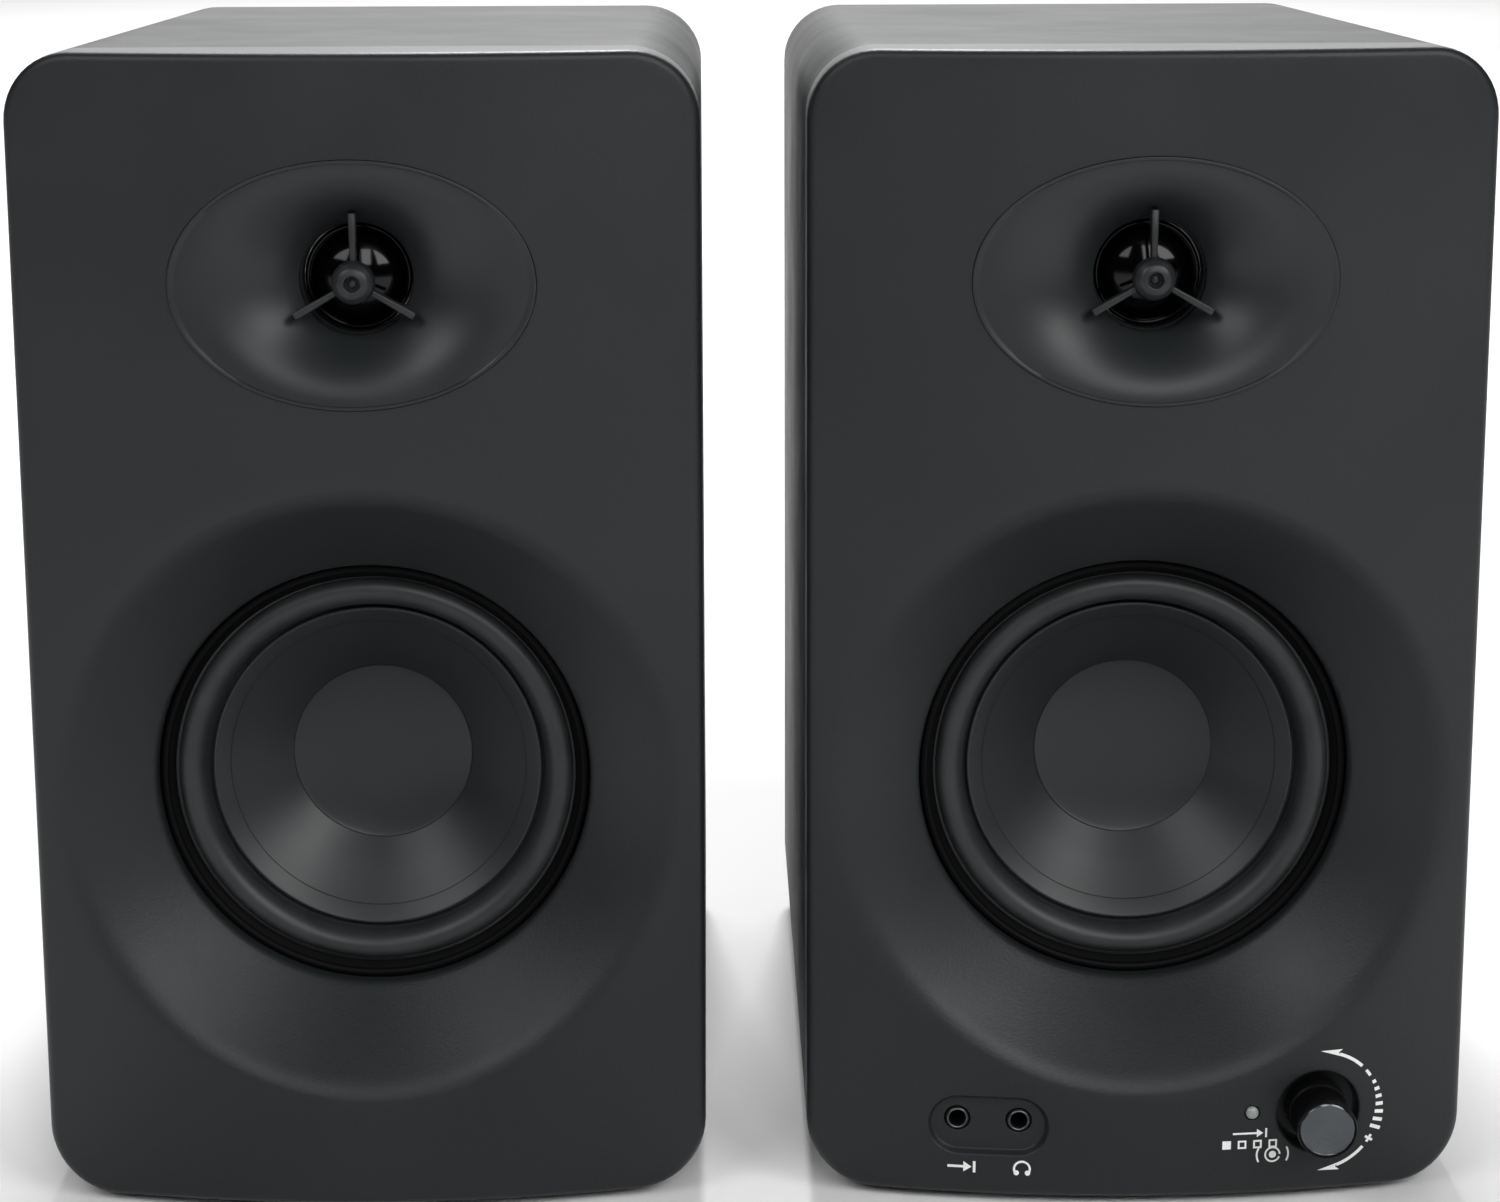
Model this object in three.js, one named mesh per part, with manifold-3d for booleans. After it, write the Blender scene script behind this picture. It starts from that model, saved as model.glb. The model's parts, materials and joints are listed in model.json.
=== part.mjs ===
// A pair of two-way desktop monitor speakers, as an assembly of separate solids.
// Units are millimetres, +Z is up and the fronts face -Y. The left speaker is the unpowered one.
// The origin is the centre of the pair's footprint, on the surface that they stand on.
//
// Inside one speaker, x runs across it, y is the depth behind the front face's side edges,
// and z is the height above the surface. Round pieces turn about an axis along Y.

import * as THREE from 'three';
import { mergeVertices } from 'three/addons/utils/BufferGeometryUtils.js';
import Module from 'manifold-3d';

const wasm = await Module();
wasm.setup();

// ---- driving dimensions ----

const WIDTH = 152;            // one speaker, outside
const BODY_HEIGHT = 263;      // cabinet and baffle, without the feet
const FOOT_HEIGHT = 2;
const DEPTH = 205;            // front side edges to the cabinet's back
const SPACING = 175.5;        // between the two speakers' centre lines
const CORNER_RADIUS = 15.5;   // long edges of the cabinet
const CROWN = 10.5;           // how far the front bows out at its middle
const GAP = 0.3;              // clearance where two pieces meet

const BAFFLE_SKIRT = 14;      // baffle depth at its side edges
const BAFFLE_WALL = 4;
const CABINET_WALL = 9;
const INNER_RADIUS = 8;

const WOOFER_HEIGHT = 98;     // woofer axis above the surface
const DISH_RADIUS = 70;       // soft outer edge of the dish round the woofer
const DISH_FLOOR = 10.2;      // depth of the dish at the edge of that recess
const DRIVER_HOLE = 49.8;     // radius of the recess that takes the woofer
const LEDGE_HOLE = 45.3;
const LEDGE_OUTER = 54;
const LEDGE_FRONT = 18.5;
const LEDGE_BACK = 22;

const TWEETER_HEIGHT = 214.7;
const HORN_HALF_WIDTH = 40;
const HORN_HALF_HEIGHT = 27.2;
const THROAT_RADIUS = 12.7;
const THROAT_DEPTH = 2;
const HORN_BACK = 4.3;
const HORN_SIDES = 24;
const HORN_FLARE = 1.6;       // 1 is a straight funnel, more keeps the rim shallow
const PLUG_ARM_REACH = 15.2;

const PORT_HEIGHT = 217;
const PORT_BORE = 19;
const PORT_OUTER = 21;
const PORT_FRONT = 118;

const KNOB_X = 41.6;
const KNOB_HEIGHT = 21.6;
const KNOB_RADIUS = 7;
const KNOB_PROUD = 11;        // knob face in front of the baffle
const KNOB_RECESS_RADIUS = 9.6;
const KNOB_RECESS_DEPTH = 5.4;
const JACK_HEIGHT = 20.1;
const AUX_X = -41.5;
const JACK_PITCH = 14;
const JACK_RECESS_WIDTH = 28;
const JACK_RECESS_HEIGHT = 14.6;
const JACK_RECESS_DEPTH = 1.6;
const LED_X = 26;
const LED_HEIGHT = 22.1;
const CONTROL_BOARD_FRONT = 7;

const PANEL_WIDTH = 118;      // amplifier panel on the powered speaker
const PANEL_HEIGHT = 150;
const PANEL_THICKNESS = 2.5;
const PANEL_CENTRE = 93;
const FIN_HEIGHT = 6;
const INLET_X = -34;
const INLET_HEIGHT = 36;
const SWITCH_X = 8;
const BLOCK_X = 32;
const BLOCK_HEIGHT = 84;
const SWITCH_TILT = THREE.MathUtils.degToRad(7);

const CUP_HEIGHT = 70;        // terminal cup on the unpowered speaker
const LEVER_PITCH = 15;

const ROUND = 20;             // sides of a round piece
const SMALL_ROUND = 16;
const CORNER_STEPS = 4;
const CROWN_STEPS = 10;
const FAR = 400;              // longer than anything, for cutting tools

const crownAt = x => -CROWN * (1 - (2 * x / WIDTH) ** 2);

// ---- materials ----

const finish = (color, roughness, metalness = 0) =>
  new THREE.MeshStandardMaterial({ color, roughness, metalness });

const charcoalPlastic = finish(0x2a2e30, 0.55);
const charcoalVinyl = finish(0x2c3031, 0.6);
const satinPlastic = finish(0x33383a, 0.42);
const blackPlastic = finish(0x111213, 0.5);
const glossBlack = finish(0x070708, 0.12);
const rubber = finish(0x1b1d1e, 0.65);
const conePaper = finish(0x2b2f31, 0.45);
const spiderCloth = finish(0xb08a4a, 0.9);
const copperCoil = finish(0xa8653a, 0.5, 0.6);
const ferrite = finish(0x2f2f31, 0.8);
const zincSteel = finish(0xb5b8ba, 0.35, 1);
const blackSteel = finish(0x17181a, 0.5, 0.4);
const boardGreen = finish(0x1e5a35, 0.6);
const blackAluminium = finish(0x1c1d1f, 0.4, 0.8);
const spunMetal = finish(0x3a3d40, 0.3, 0.9);
const nickel = finish(0x9a9da0, 0.3, 1);
const milkyLens = finish(0xc9cdca, 0.35);
const redPlastic = finish(0xa01c1c, 0.45);

// ---- solids ----

// One closed body from a geometry: shared corners are merged, slivers dropped, faces turned out.
function solid(geometry) {
  const bare = geometry.index ? geometry.toNonIndexed() : geometry.clone();
  bare.deleteAttribute('normal');
  bare.deleteAttribute('uv');
  const merged = mergeVertices(bare, 1e-4);
  const position = merged.attributes.position;
  const index = merged.index.array;
  const kept = [];
  let volume = 0;
  const a = new THREE.Vector3();
  const b = new THREE.Vector3();
  const c = new THREE.Vector3();
  for (let i = 0; i < index.length; i += 3) {
    const [p, q, r] = [index[i], index[i + 1], index[i + 2]];
    if (p === q || q === r || r === p) continue;
    kept.push(p, q, r);
    a.fromBufferAttribute(position, p);
    b.fromBufferAttribute(position, q);
    c.fromBufferAttribute(position, r);
    volume += a.dot(b.cross(c));
  }
  if (volume < 0) {
    for (let i = 0; i < kept.length; i += 3) {
      [kept[i], kept[i + 1]] = [kept[i + 1], kept[i]];
    }
  }
  return new wasm.Manifold(new wasm.Mesh({
    numProp: 3,
    vertProperties: new Float32Array(position.array),
    triVerts: new Uint32Array(kept),
  }));
}

function geometryOf(body) {
  const mesh = body.getMesh();
  const geometry = new THREE.BufferGeometry();
  geometry.setAttribute('position', new THREE.BufferAttribute(mesh.vertProperties, 3));
  geometry.setIndex(new THREE.BufferAttribute(mesh.triVerts, 1));
  geometry.computeVertexNormals();
  return geometry;
}

const join = (first, ...others) => others.reduce((body, other) => body.add(other), first);
const cut = (first, ...others) => others.reduce((body, other) => body.subtract(other), first);

// A box between two corners.
function block(x0, x1, y0, y1, z0, z1) {
  const box = new THREE.BoxGeometry(x1 - x0, y1 - y0, z1 - z0);
  return solid(box.translate((x0 + x1) / 2, (y0 + y1) / 2, (z0 + z1) / 2));
}

// A flat outline, drawn in x and z, made solid from depth y0 to y1.
function slab(shape, y0, y1, steps = CORNER_STEPS) {
  const geometry = new THREE.ExtrudeGeometry(shape, {
    depth: y1 - y0,
    bevelEnabled: false,
    curveSegments: steps,
  });
  return solid(geometry.rotateX(Math.PI / 2).translate(0, y1, 0));
}

// A profile of [radius, depth] pairs turned about an axis along Y, through (x, z).
function turned(profile, x = 0, z = 0, sides = ROUND) {
  const points = profile.map(([radius, depth]) => new THREE.Vector2(radius, depth));
  const closed = profile[0][0] > 0;
  if (closed) points.push(points[0].clone());
  return solid(new THREE.LatheGeometry(points, sides).translate(x, 0, z));
}

const disc = (radius, y0, y1, x = 0, z = 0, sides = ROUND) =>
  turned([[0, y0], [radius, y0], [radius, y1], [0, y1]], x, z, sides);

const ring = (inner, outer, y0, y1, x = 0, z = 0, sides = ROUND) =>
  turned([[inner, y0], [outer, y0], [outer, y1], [inner, y1]], x, z, sides);

// A skin through loops of equal length. The ends are capped, or joined when the loops close on themselves.
function loft(loops, closes = false) {
  const count = loops[0].length;
  const points = loops.flat();
  const faces = [];
  const last = closes ? loops.length : loops.length - 1;
  for (let i = 0; i < last; i += 1) {
    const next = (i + 1) % loops.length;
    for (let j = 0; j < count; j += 1) {
      const k = (j + 1) % count;
      const [a, b, c, d] = [i * count + j, i * count + k, next * count + k, next * count + j];
      faces.push(a, b, c, a, c, d);
    }
  }
  if (!closes) {
    for (const [row, flip] of [[0, true], [loops.length - 1, false]]) {
      const centre = new THREE.Vector3();
      loops[row].forEach(point => centre.addScaledVector(point, 1 / count));
      points.push(centre);
      for (let j = 0; j < count; j += 1) {
        const a = row * count + j;
        const b = row * count + (j + 1) % count;
        faces.push(...(flip ? [b, a, points.length - 1] : [a, b, points.length - 1]));
      }
    }
  }
  const geometry = new THREE.BufferGeometry().setFromPoints(points);
  geometry.setIndex(faces);
  return solid(geometry);
}

// A loop of points round (0, z) with half-axes a and b, each at the depth that depthAt gives for its x.
function loop(a, b, z, depthAt, count = ROUND) {
  return Array.from({ length: count }, (_, i) => {
    const angle = 2 * Math.PI * i / count;
    const x = a * Math.cos(angle);
    return new THREE.Vector3(x, depthAt(x), z + b * Math.sin(angle));
  });
}

// ---- outlines ----

function roundedRectangle(width, height, radius, x = 0, z = 0) {
  const [w, h] = [width / 2, height / 2];
  const shape = new THREE.Shape();
  shape.moveTo(x - w + radius, z - h);
  shape.lineTo(x + w - radius, z - h);
  shape.absarc(x + w - radius, z - h + radius, radius, -Math.PI / 2, 0);
  shape.absarc(x + w - radius, z + h - radius, radius, 0, Math.PI / 2);
  shape.absarc(x - w + radius, z + h - radius, radius, Math.PI / 2, Math.PI);
  shape.absarc(x - w + radius, z - h + radius, radius, Math.PI, 1.5 * Math.PI);
  return shape;
}

function ellipse(a, b, x, z) {
  const shape = new THREE.Shape();
  shape.absellipse(x, z, a, b, 0, 2 * Math.PI);
  return shape;
}

const MIDDLE = FOOT_HEIGHT + BODY_HEIGHT / 2;
const outline = inset => roundedRectangle(
  WIDTH - 2 * inset, BODY_HEIGHT - 2 * inset, Math.max(CORNER_RADIUS - inset, INNER_RADIUS), 0, MIDDLE);

// Everything behind the bowed front face, moved back by inset.
function behindCrown(inset) {
  const shape = new THREE.Shape();
  const reach = WIDTH / 2 + 4;
  shape.moveTo(-reach, FAR);
  for (let i = 0; i <= CROWN_STEPS; i += 1) {
    const x = -reach + 2 * reach * i / CROWN_STEPS;
    shape.lineTo(x, crownAt(x) + inset);
  }
  shape.lineTo(reach, FAR);
  return solid(new THREE.ExtrudeGeometry(shape, { depth: FAR, bevelEnabled: false }));
}

// ---- pieces that both speakers share ----

// The dish: a loft from its floor ring out to the bowed face, with a softened outer edge.
function dishTool() {
  const loops = [loop(DRIVER_HOLE, DRIVER_HOLE, WOOFER_HEIGHT, () => DISH_FLOOR)];
  for (const step of [0.5, 0.85, 1]) {
    const radius = THREE.MathUtils.lerp(DRIVER_HOLE, DISH_RADIUS, step);
    const rise = step + 0.12 * Math.sin(Math.PI * step);
    loops.push(loop(radius, radius, WOOFER_HEIGHT,
      x => THREE.MathUtils.lerp(DISH_FLOOR, crownAt(x) - (step === 1 ? 0.2 : 0), rise)));
  }
  loops.push(loop(DISH_RADIUS, DISH_RADIUS, WOOFER_HEIGHT, () => -2 * CROWN));
  return loft(loops);
}

function baffleBlank(powered) {
  const shell = slab(outline(0), -2 * CROWN, BAFFLE_SKIRT).intersect(behindCrown(0));
  let pocket = slab(outline(BAFFLE_WALL), -2 * CROWN, BAFFLE_SKIRT + 1).intersect(behindCrown(BAFFLE_WALL));
  pocket = cut(pocket,
    disc(DISH_RADIUS + 3, -FAR, FAR, 0, WOOFER_HEIGHT),
    slab(ellipse(HORN_HALF_WIDTH + 4, HORN_HALF_HEIGHT + 4, 0, TWEETER_HEIGHT), -FAR, 6));
  if (powered) {
    pocket = cut(pocket, disc(KNOB_RECESS_RADIUS + 2.6, -FAR, 0.3, KNOB_X, KNOB_HEIGHT));
  }
  const ledge = disc(LEDGE_OUTER, BAFFLE_SKIRT - 1, LEDGE_BACK, 0, WOOFER_HEIGHT);
  return cut(join(cut(shell, pocket), ledge),
    dishTool(),
    disc(DRIVER_HOLE, -FAR, LEDGE_FRONT, 0, WOOFER_HEIGHT),
    disc(LEDGE_HOLE, 0, FAR, 0, WOOFER_HEIGHT),
    slab(ellipse(HORN_HALF_WIDTH + GAP, HORN_HALF_HEIGHT + GAP, 0, TWEETER_HEIGHT), -FAR, FAR, HORN_SIDES));
}

function frontBaffle(powered) {
  const blank = baffleBlank(powered);
  if (!powered) return blank;
  const recessX = AUX_X + JACK_PITCH / 2;
  const stadium = roundedRectangle(JACK_RECESS_WIDTH, JACK_RECESS_HEIGHT,
    JACK_RECESS_HEIGHT / 2 - 0.01, recessX, JACK_HEIGHT - 1);
  return cut(blank,
    cut(slab(stadium, -2 * CROWN, 0), behindCrown(JACK_RECESS_DEPTH)),
    disc(2.95, -FAR, FAR, AUX_X, JACK_HEIGHT, SMALL_ROUND),
    disc(2.95, -FAR, FAR, AUX_X + JACK_PITCH, JACK_HEIGHT, SMALL_ROUND),
    disc(1.8, -FAR, FAR, LED_X, LED_HEIGHT, SMALL_ROUND),
    disc(3.6, -FAR, FAR, KNOB_X, KNOB_HEIGHT, SMALL_ROUND),
    disc(KNOB_RECESS_RADIUS, -FAR, crownAt(KNOB_X) + KNOB_RECESS_DEPTH, KNOB_X, KNOB_HEIGHT));
}

function cabinet(powered) {
  const front = BAFFLE_SKIRT + GAP;
  const shell = cut(
    slab(outline(0), front, DEPTH),
    slab(outline(CABINET_WALL), front - 1, DEPTH - CABINET_WALL));
  const portHole = disc(PORT_OUTER + 0.4, 0, FAR, 0, PORT_HEIGHT);
  const panelHole = powered
    ? slab(roundedRectangle(PANEL_WIDTH - 14, PANEL_HEIGHT - 14, 4, 0, PANEL_CENTRE), 100, FAR)
    : slab(roundedRectangle(61, 49, 4, 0, CUP_HEIGHT), 100, FAR);
  return cut(shell, portHole, panelHole);
}

// The horn's front surface: 0 at the rim, 1 at the throat.
function hornLoop(step, back = 0) {
  const half = (rim) => THREE.MathUtils.lerp(rim, THROAT_RADIUS, step);
  return loop(half(HORN_HALF_WIDTH), half(HORN_HALF_HEIGHT), TWEETER_HEIGHT,
    x => THREE.MathUtils.lerp(crownAt(x), THROAT_DEPTH, step ** HORN_FLARE) + back, HORN_SIDES);
}

function waveguide() {
  const front = [0, 0.2, 0.5, 0.8, 1].map(step => hornLoop(step));
  const throat = loop(THROAT_RADIUS, THROAT_RADIUS, TWEETER_HEIGHT, () => HORN_BACK, HORN_SIDES);
  const flange = loop(THROAT_RADIUS + 8, THROAT_RADIUS + 7, TWEETER_HEIGHT, () => HORN_BACK, HORN_SIDES);
  const back = [0.5, 0.12].map(step => hornLoop(step, 3));
  return loft([...front, throat, flange, ...back, hornLoop(0, 5)], true);
}

function phasePlug() {
  const bullet = turned([[0, -6.2], [1.5, -6.4], [1.9, -7.9], [3.4, -7.4], [4.5, -6.2], [4.9, -4.4],
    [4.6, -2.4], [3.4, -0.8], [0, -0.2]], 0, 0, SMALL_ROUND);
  const arms = [90, 210, 330].map(angle => {
    const arm = new THREE.BoxGeometry(PLUG_ARM_REACH - 3, 2.8, 1.9);
    arm.translate((PLUG_ARM_REACH + 3) / 2, -3.2, 0);
    return solid(arm.rotateY(-THREE.MathUtils.degToRad(angle)));
  });
  return join(bullet, ...arms).translate([0, 0, TWEETER_HEIGHT]);
}

// Points on a shallow dome from the axis out to its edge.
function domeProfile(radius, apex, edge, steps = 4) {
  const height = edge - apex;
  const sphere = (radius ** 2 + height ** 2) / (2 * height);
  const half = Math.asin(radius / sphere);
  return Array.from({ length: steps + 1 }, (_, i) => {
    const angle = half * i / steps;
    return [sphere * Math.sin(angle), apex + sphere * (1 - Math.cos(angle))];
  });
}

function tweeterDome() {
  const outside = domeProfile(10.9, 2.4, 7.2);
  const inside = domeProfile(10.9, 3.0, 7.8).slice(0, -1).reverse();
  return turned([...outside, [11.4, 6.9], [11.9, 7.3], [11.9, 7.8], [11.6, 7.9], [11.6, 12.4], [11.2, 12.4],
    [11.2, 8.1], ...inside], 0, TWEETER_HEIGHT, SMALL_ROUND);
}

const tweeterRing = () => turned([[12.2, HORN_BACK + 0.3], [22, HORN_BACK + 0.3], [22, 8.6], [12.2, 8.6]],
  0, TWEETER_HEIGHT);

const tweeterMotor = () => turned([[0, 9], [10.7, 9], [10.7, 14], [12.2, 14], [12.2, 9], [21, 9],
  [21, 26], [0, 26]], 0, TWEETER_HEIGHT);

const wooferTrim = () => turned([[46.9, 13.2], [47.4, 12.6], [48.7, 12.6], [49.2, 13.2], [49.2, 15.1],
  [46.9, 15.1]], 0, WOOFER_HEIGHT);

// The half-roll edge between the cone and the basket.
function wooferSurround() {
  const [inner, outer, steps] = [38.6, 45.4, 5];
  const arch = (grow) => Array.from({ length: steps + 1 }, (_, i) => {
    const angle = Math.PI * i / steps;
    const middle = (inner + outer) / 2;
    const base = THREE.MathUtils.lerp(15.4, 17.2, i / steps);
    return [middle + ((outer - inner) / 2 + grow) * Math.cos(angle), base - (3.9 + grow) * Math.sin(angle)];
  });
  return turned([[49.2, 15.4], ...arch(0), [37.6, 17.2], [37.6, 17.7], ...arch(-0.6).reverse(), [49.2, 15.9]],
    0, WOOFER_HEIGHT);
}

const wooferCone = () => turned([[38.3, 18], [37, 18.3], [34, 20.9], [20, 31.6], [13.1, 38.1], [13.1, 38.6],
  [13.9, 38.6], [20.6, 32.6], [34.8, 21.8], [38.3, 19.3]], 0, WOOFER_HEIGHT);

// The dust cap is a shallow hollow: its middle lies behind its edge.
function dustCap() {
  const front = domeProfile(20, 33.2, 30.9);
  const back = domeProfile(19.4, 33.9, 31.5).reverse();
  return turned([...front, ...back], 0, WOOFER_HEIGHT);
}

const voiceCoil = () => turned([[12.7, 38.9], [13.15, 38.9], [13.15, 47], [13.5, 47.4], [13.5, 57],
  [12.7, 57]], 0, WOOFER_HEIGHT);

function spider() {
  const [inner, outer, waves, steps] = [13.5, 32.4, 2, 8];
  const wave = depth => Array.from({ length: steps + 1 }, (_, i) => [
    THREE.MathUtils.lerp(inner, outer, i / steps),
    depth + Math.sin(2 * Math.PI * waves * i / steps),
  ]);
  return turned([...wave(41.6), ...wave(42.1).reverse()], 0, WOOFER_HEIGHT, SMALL_ROUND);
}

function wooferBasket() {
  const frame = turned([[43.2, 16.2], [49.2, 16.2], [49.2, 18.2], [45, 18.2], [44, 26], [38.4, 41], [34.6, 44.5],
    [34.6, 48], [13.9, 48], [13.9, 44.4], [31, 44.4], [31, 43.5], [33.6, 43.5], [36.8, 40.4], [42.3, 25.6]],
  0, WOOFER_HEIGHT);
  const across = block(-60, 60, 21, 38, WOOFER_HEIGHT - 14, WOOFER_HEIGHT + 14);
  const upright = block(-14, 14, 21, 38, WOOFER_HEIGHT - 60, WOOFER_HEIGHT + 60);
  return cut(frame, across, upright);
}

const wooferMagnet = () => ring(17, 40, 48.3, 62.3, 0, WOOFER_HEIGHT);

const wooferYoke = () => turned([[0, 45], [12.2, 45], [12.2, 62.6], [38, 62.6], [38, 67.6], [0, 67.6]],
  0, WOOFER_HEIGHT);

const portTube = () => turned([[PORT_BORE, PORT_FRONT + 3], [PORT_BORE + 2, PORT_FRONT],
  [PORT_BORE + 4, PORT_FRONT + 2], [PORT_OUTER, PORT_FRONT + 5], [PORT_OUTER, DEPTH + GAP],
  [PORT_OUTER + 6, DEPTH + GAP], [PORT_OUTER + 6, DEPTH + 2], [PORT_BORE + 4.5, DEPTH + 2.4],
  [PORT_BORE + 1.5, DEPTH - 1], [PORT_BORE, DEPTH - 7]], 0, PORT_HEIGHT);

const footStrip = y => slab(roundedRectangle(112, 14, 6.9), 0, FOOT_HEIGHT - GAP, 3)
  .rotate([90, 0, 0])
  .translate([0, y, 0]);

// A spring-clip lever: a flat tab through the slot, with a barrel that it turns on inside.
function clipLever(x, z, face) {
  const tab = block(-4.8, 4.8, -7, 6, -1.8, 1.8);
  const lip = block(-4.8, 4.8, 4.6, 6.8, -4.2, 1.8);
  const barrel = solid(new THREE.CylinderGeometry(2.4, 2.4, 9.6, 16).rotateZ(Math.PI / 2).translate(0, -7, 0));
  return join(tab, lip, barrel).translate([x, face, z]);
}

// What a pair of levers needs in the face that holds it: two slots, and two wire holes below.
function clipCuts(x, z, face) {
  return [-1, 1].flatMap(side => {
    const middle = x + side * LEVER_PITCH / 2;
    return [
      block(middle - 5.3, middle + 5.3, face - 11, face + 1, z - 9, z + 3.2),
      disc(1.7, face - 9, face + 1, middle, z - 12.2, 8),
    ];
  });
}

// ---- pieces of the unpowered speaker ----

const CUP_FACE = DEPTH - 3;   // floor of the cup, where the clips are
const CUP_CLIP_HEIGHT = CUP_HEIGHT + 3;

function terminalCup() {
  const flange = slab(roundedRectangle(72, 60, 5, 0, CUP_HEIGHT), DEPTH + GAP, DEPTH + 2.3);
  const body = slab(roundedRectangle(60, 48, 4, 0, CUP_HEIGHT), CUP_FACE - 14, DEPTH + 1);
  const dish = slab(roundedRectangle(50, 38, 4, 0, CUP_HEIGHT), CUP_FACE, FAR);
  return cut(join(flange, body), dish, ...clipCuts(0, CUP_CLIP_HEIGHT, CUP_FACE));
}

function crossoverBoard() {
  const top = 110;
  const board = block(-34, 34, 183, 184.6, top, top + 42);
  const coil = ring(5, 13, 165, 183.2, -16, top + 21);
  const capacitor = disc(6, 166, 183.2, 14, top + 28, SMALL_ROUND);
  const resistor = block(4, 28, 177, 183.2, top + 6, top + 13);
  return join(board, coil, capacitor, resistor);
}

// ---- pieces of the powered speaker ----

const PANEL_FACE = DEPTH + GAP + PANEL_THICKNESS;
const BLOCK_FACE = PANEL_FACE + 2;

function ampPanel() {
  const plate = slab(roundedRectangle(PANEL_WIDTH, PANEL_HEIGHT, 4, 0, PANEL_CENTRE), DEPTH + GAP, PANEL_FACE);
  const finPitch = 5.4;
  const fins = Array.from({ length: 17 }, (_, i) => {
    const x = (i - 8) * finPitch;
    return block(x - 1, x + 1, PANEL_FACE - 1, PANEL_FACE + FIN_HEIGHT, 112, 158);
  });
  return cut(join(plate, ...fins),
    block(INLET_X - 13.4, INLET_X + 13.4, 0, FAR, INLET_HEIGHT - 9.9, INLET_HEIGHT + 9.9),
    block(SWITCH_X - 6.8, SWITCH_X + 6.8, 0, FAR, INLET_HEIGHT - 9.9, INLET_HEIGHT + 9.9),
    block(-36.4, 52.4, 0, FAR, BLOCK_HEIGHT - 15.4, BLOCK_HEIGHT + 15.4));
}

function mainsInlet() {
  const z = INLET_HEIGHT;
  const flange = slab(roundedRectangle(31, 24, 3, INLET_X, z), PANEL_FACE + GAP, PANEL_FACE + 2);
  const body = block(INLET_X - 13, INLET_X + 13, PANEL_FACE - 19, PANEL_FACE + 1, z - 9.5, z + 9.5);
  const socket = block(INLET_X - 11.6, INLET_X + 11.6, PANEL_FACE - 15, FAR, z - 7.6, z + 7.6);
  const pins = [[-7, -1.5], [0, 2.5], [7, -1.5]].map(([x, dz]) =>
    block(INLET_X + x - 1, INLET_X + x + 1, PANEL_FACE - 16, PANEL_FACE - 4.4, z + dz - 2, z + dz + 2));
  return join(cut(join(flange, body), socket), ...pins);
}

const SWITCH_PIVOT = PANEL_FACE + 0.6;

function switchBody() {
  const z = INLET_HEIGHT;
  const flange = slab(roundedRectangle(16, 22, 2, SWITCH_X, z), PANEL_FACE + GAP, PANEL_FACE + 1.8);
  const body = block(SWITCH_X - 6.4, SWITCH_X + 6.4, PANEL_FACE - 14, PANEL_FACE + 1, z - 9.5, z + 9.5);
  const well = block(SWITCH_X - 5.6, SWITCH_X + 5.6, PANEL_FACE - 7, FAR, z - 8.7, z + 8.7);
  return cut(join(flange, body), well);
}

// The rocker is tilted at rest: it is drawn level about its pivot and then turned.
function powerRocker() {
  const shape = new THREE.Shape([
    new THREE.Vector2(2.2, -8), new THREE.Vector2(1.1, 0), new THREE.Vector2(2.2, 8),
    new THREE.Vector2(-0.6, 8.1), new THREE.Vector2(-3.6, 0), new THREE.Vector2(-0.6, -8.1),
  ]);
  const rocker = new THREE.ExtrudeGeometry(shape, { depth: 10.4, bevelEnabled: false });
  rocker.translate(0, 0, -5.2);
  // the outline's first axis is depth and its second is height
  rocker.applyMatrix4(new THREE.Matrix4().makeBasis(
    new THREE.Vector3(0, 1, 0), new THREE.Vector3(0, 0, 1), new THREE.Vector3(1, 0, 0)));
  return solid(rocker.rotateX(SWITCH_TILT).translate(SWITCH_X, SWITCH_PIVOT, INLET_HEIGHT));
}

function terminalBlock() {
  const z = BLOCK_HEIGHT;
  const flange = slab(roundedRectangle(96, 36, 3, 8, z), PANEL_FACE + GAP, BLOCK_FACE);
  const body = block(-36, 52, PANEL_FACE - 14, BLOCK_FACE - 0.5, z - 15, z + 15);
  const barrels = [-22, -4].map(x => disc(4.15, BLOCK_FACE - 1, BLOCK_FACE + 8.5, x, z, SMALL_ROUND));
  const bores = [-22, -4].map(x => disc(1.7, BLOCK_FACE - 4, BLOCK_FACE + 9, x, z, 8));
  return cut(join(flange, body, ...barrels), ...bores, ...clipCuts(BLOCK_X, z + 4, BLOCK_FACE));
}

function ampBoard() {
  const board = block(-48, 48, 176, 177.6, 40, 150);
  const cans = [[-30, 60], [-12, 60]].map(([x, z]) => disc(7, 152, 176.4, x, z, SMALL_ROUND));
  const sink = block(8, 40, 158, 176.4, 96, 134);
  const relay = block(10, 26, 164, 176.4, 54, 66);
  return join(board, ...cans, sink, relay);
}

function transformer() {
  const floor = FOOT_HEIGHT + CABINET_WALL + GAP;
  const core = block(-24, 24, 118, 142, floor, floor + 40);
  const bobbin = block(-15, 15, 107, 153, floor + 8, floor + 32);
  const foot = block(-34, 34, 116, 144, floor, floor + 2);
  return join(core, bobbin, foot);
}

// A 3.5 mm socket: a metal-rimmed nose in the baffle and a moulded body behind it.
function jackSocket(x) {
  const floor = crownAt(x) + JACK_RECESS_DEPTH;
  const wall = crownAt(x) + BAFFLE_WALL + 1.4;
  const nose = disc(2.65, floor - 0.3, wall + 1, x, JACK_HEIGHT, SMALL_ROUND);
  const body = block(x - 4, x + 4, wall, CONTROL_BOARD_FRONT - GAP, JACK_HEIGHT - 4, JACK_HEIGHT + 3.6);
  return cut(join(nose, body), disc(1.85, -FAR, CONTROL_BOARD_FRONT - 1.5, x, JACK_HEIGHT, SMALL_ROUND));
}

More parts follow.
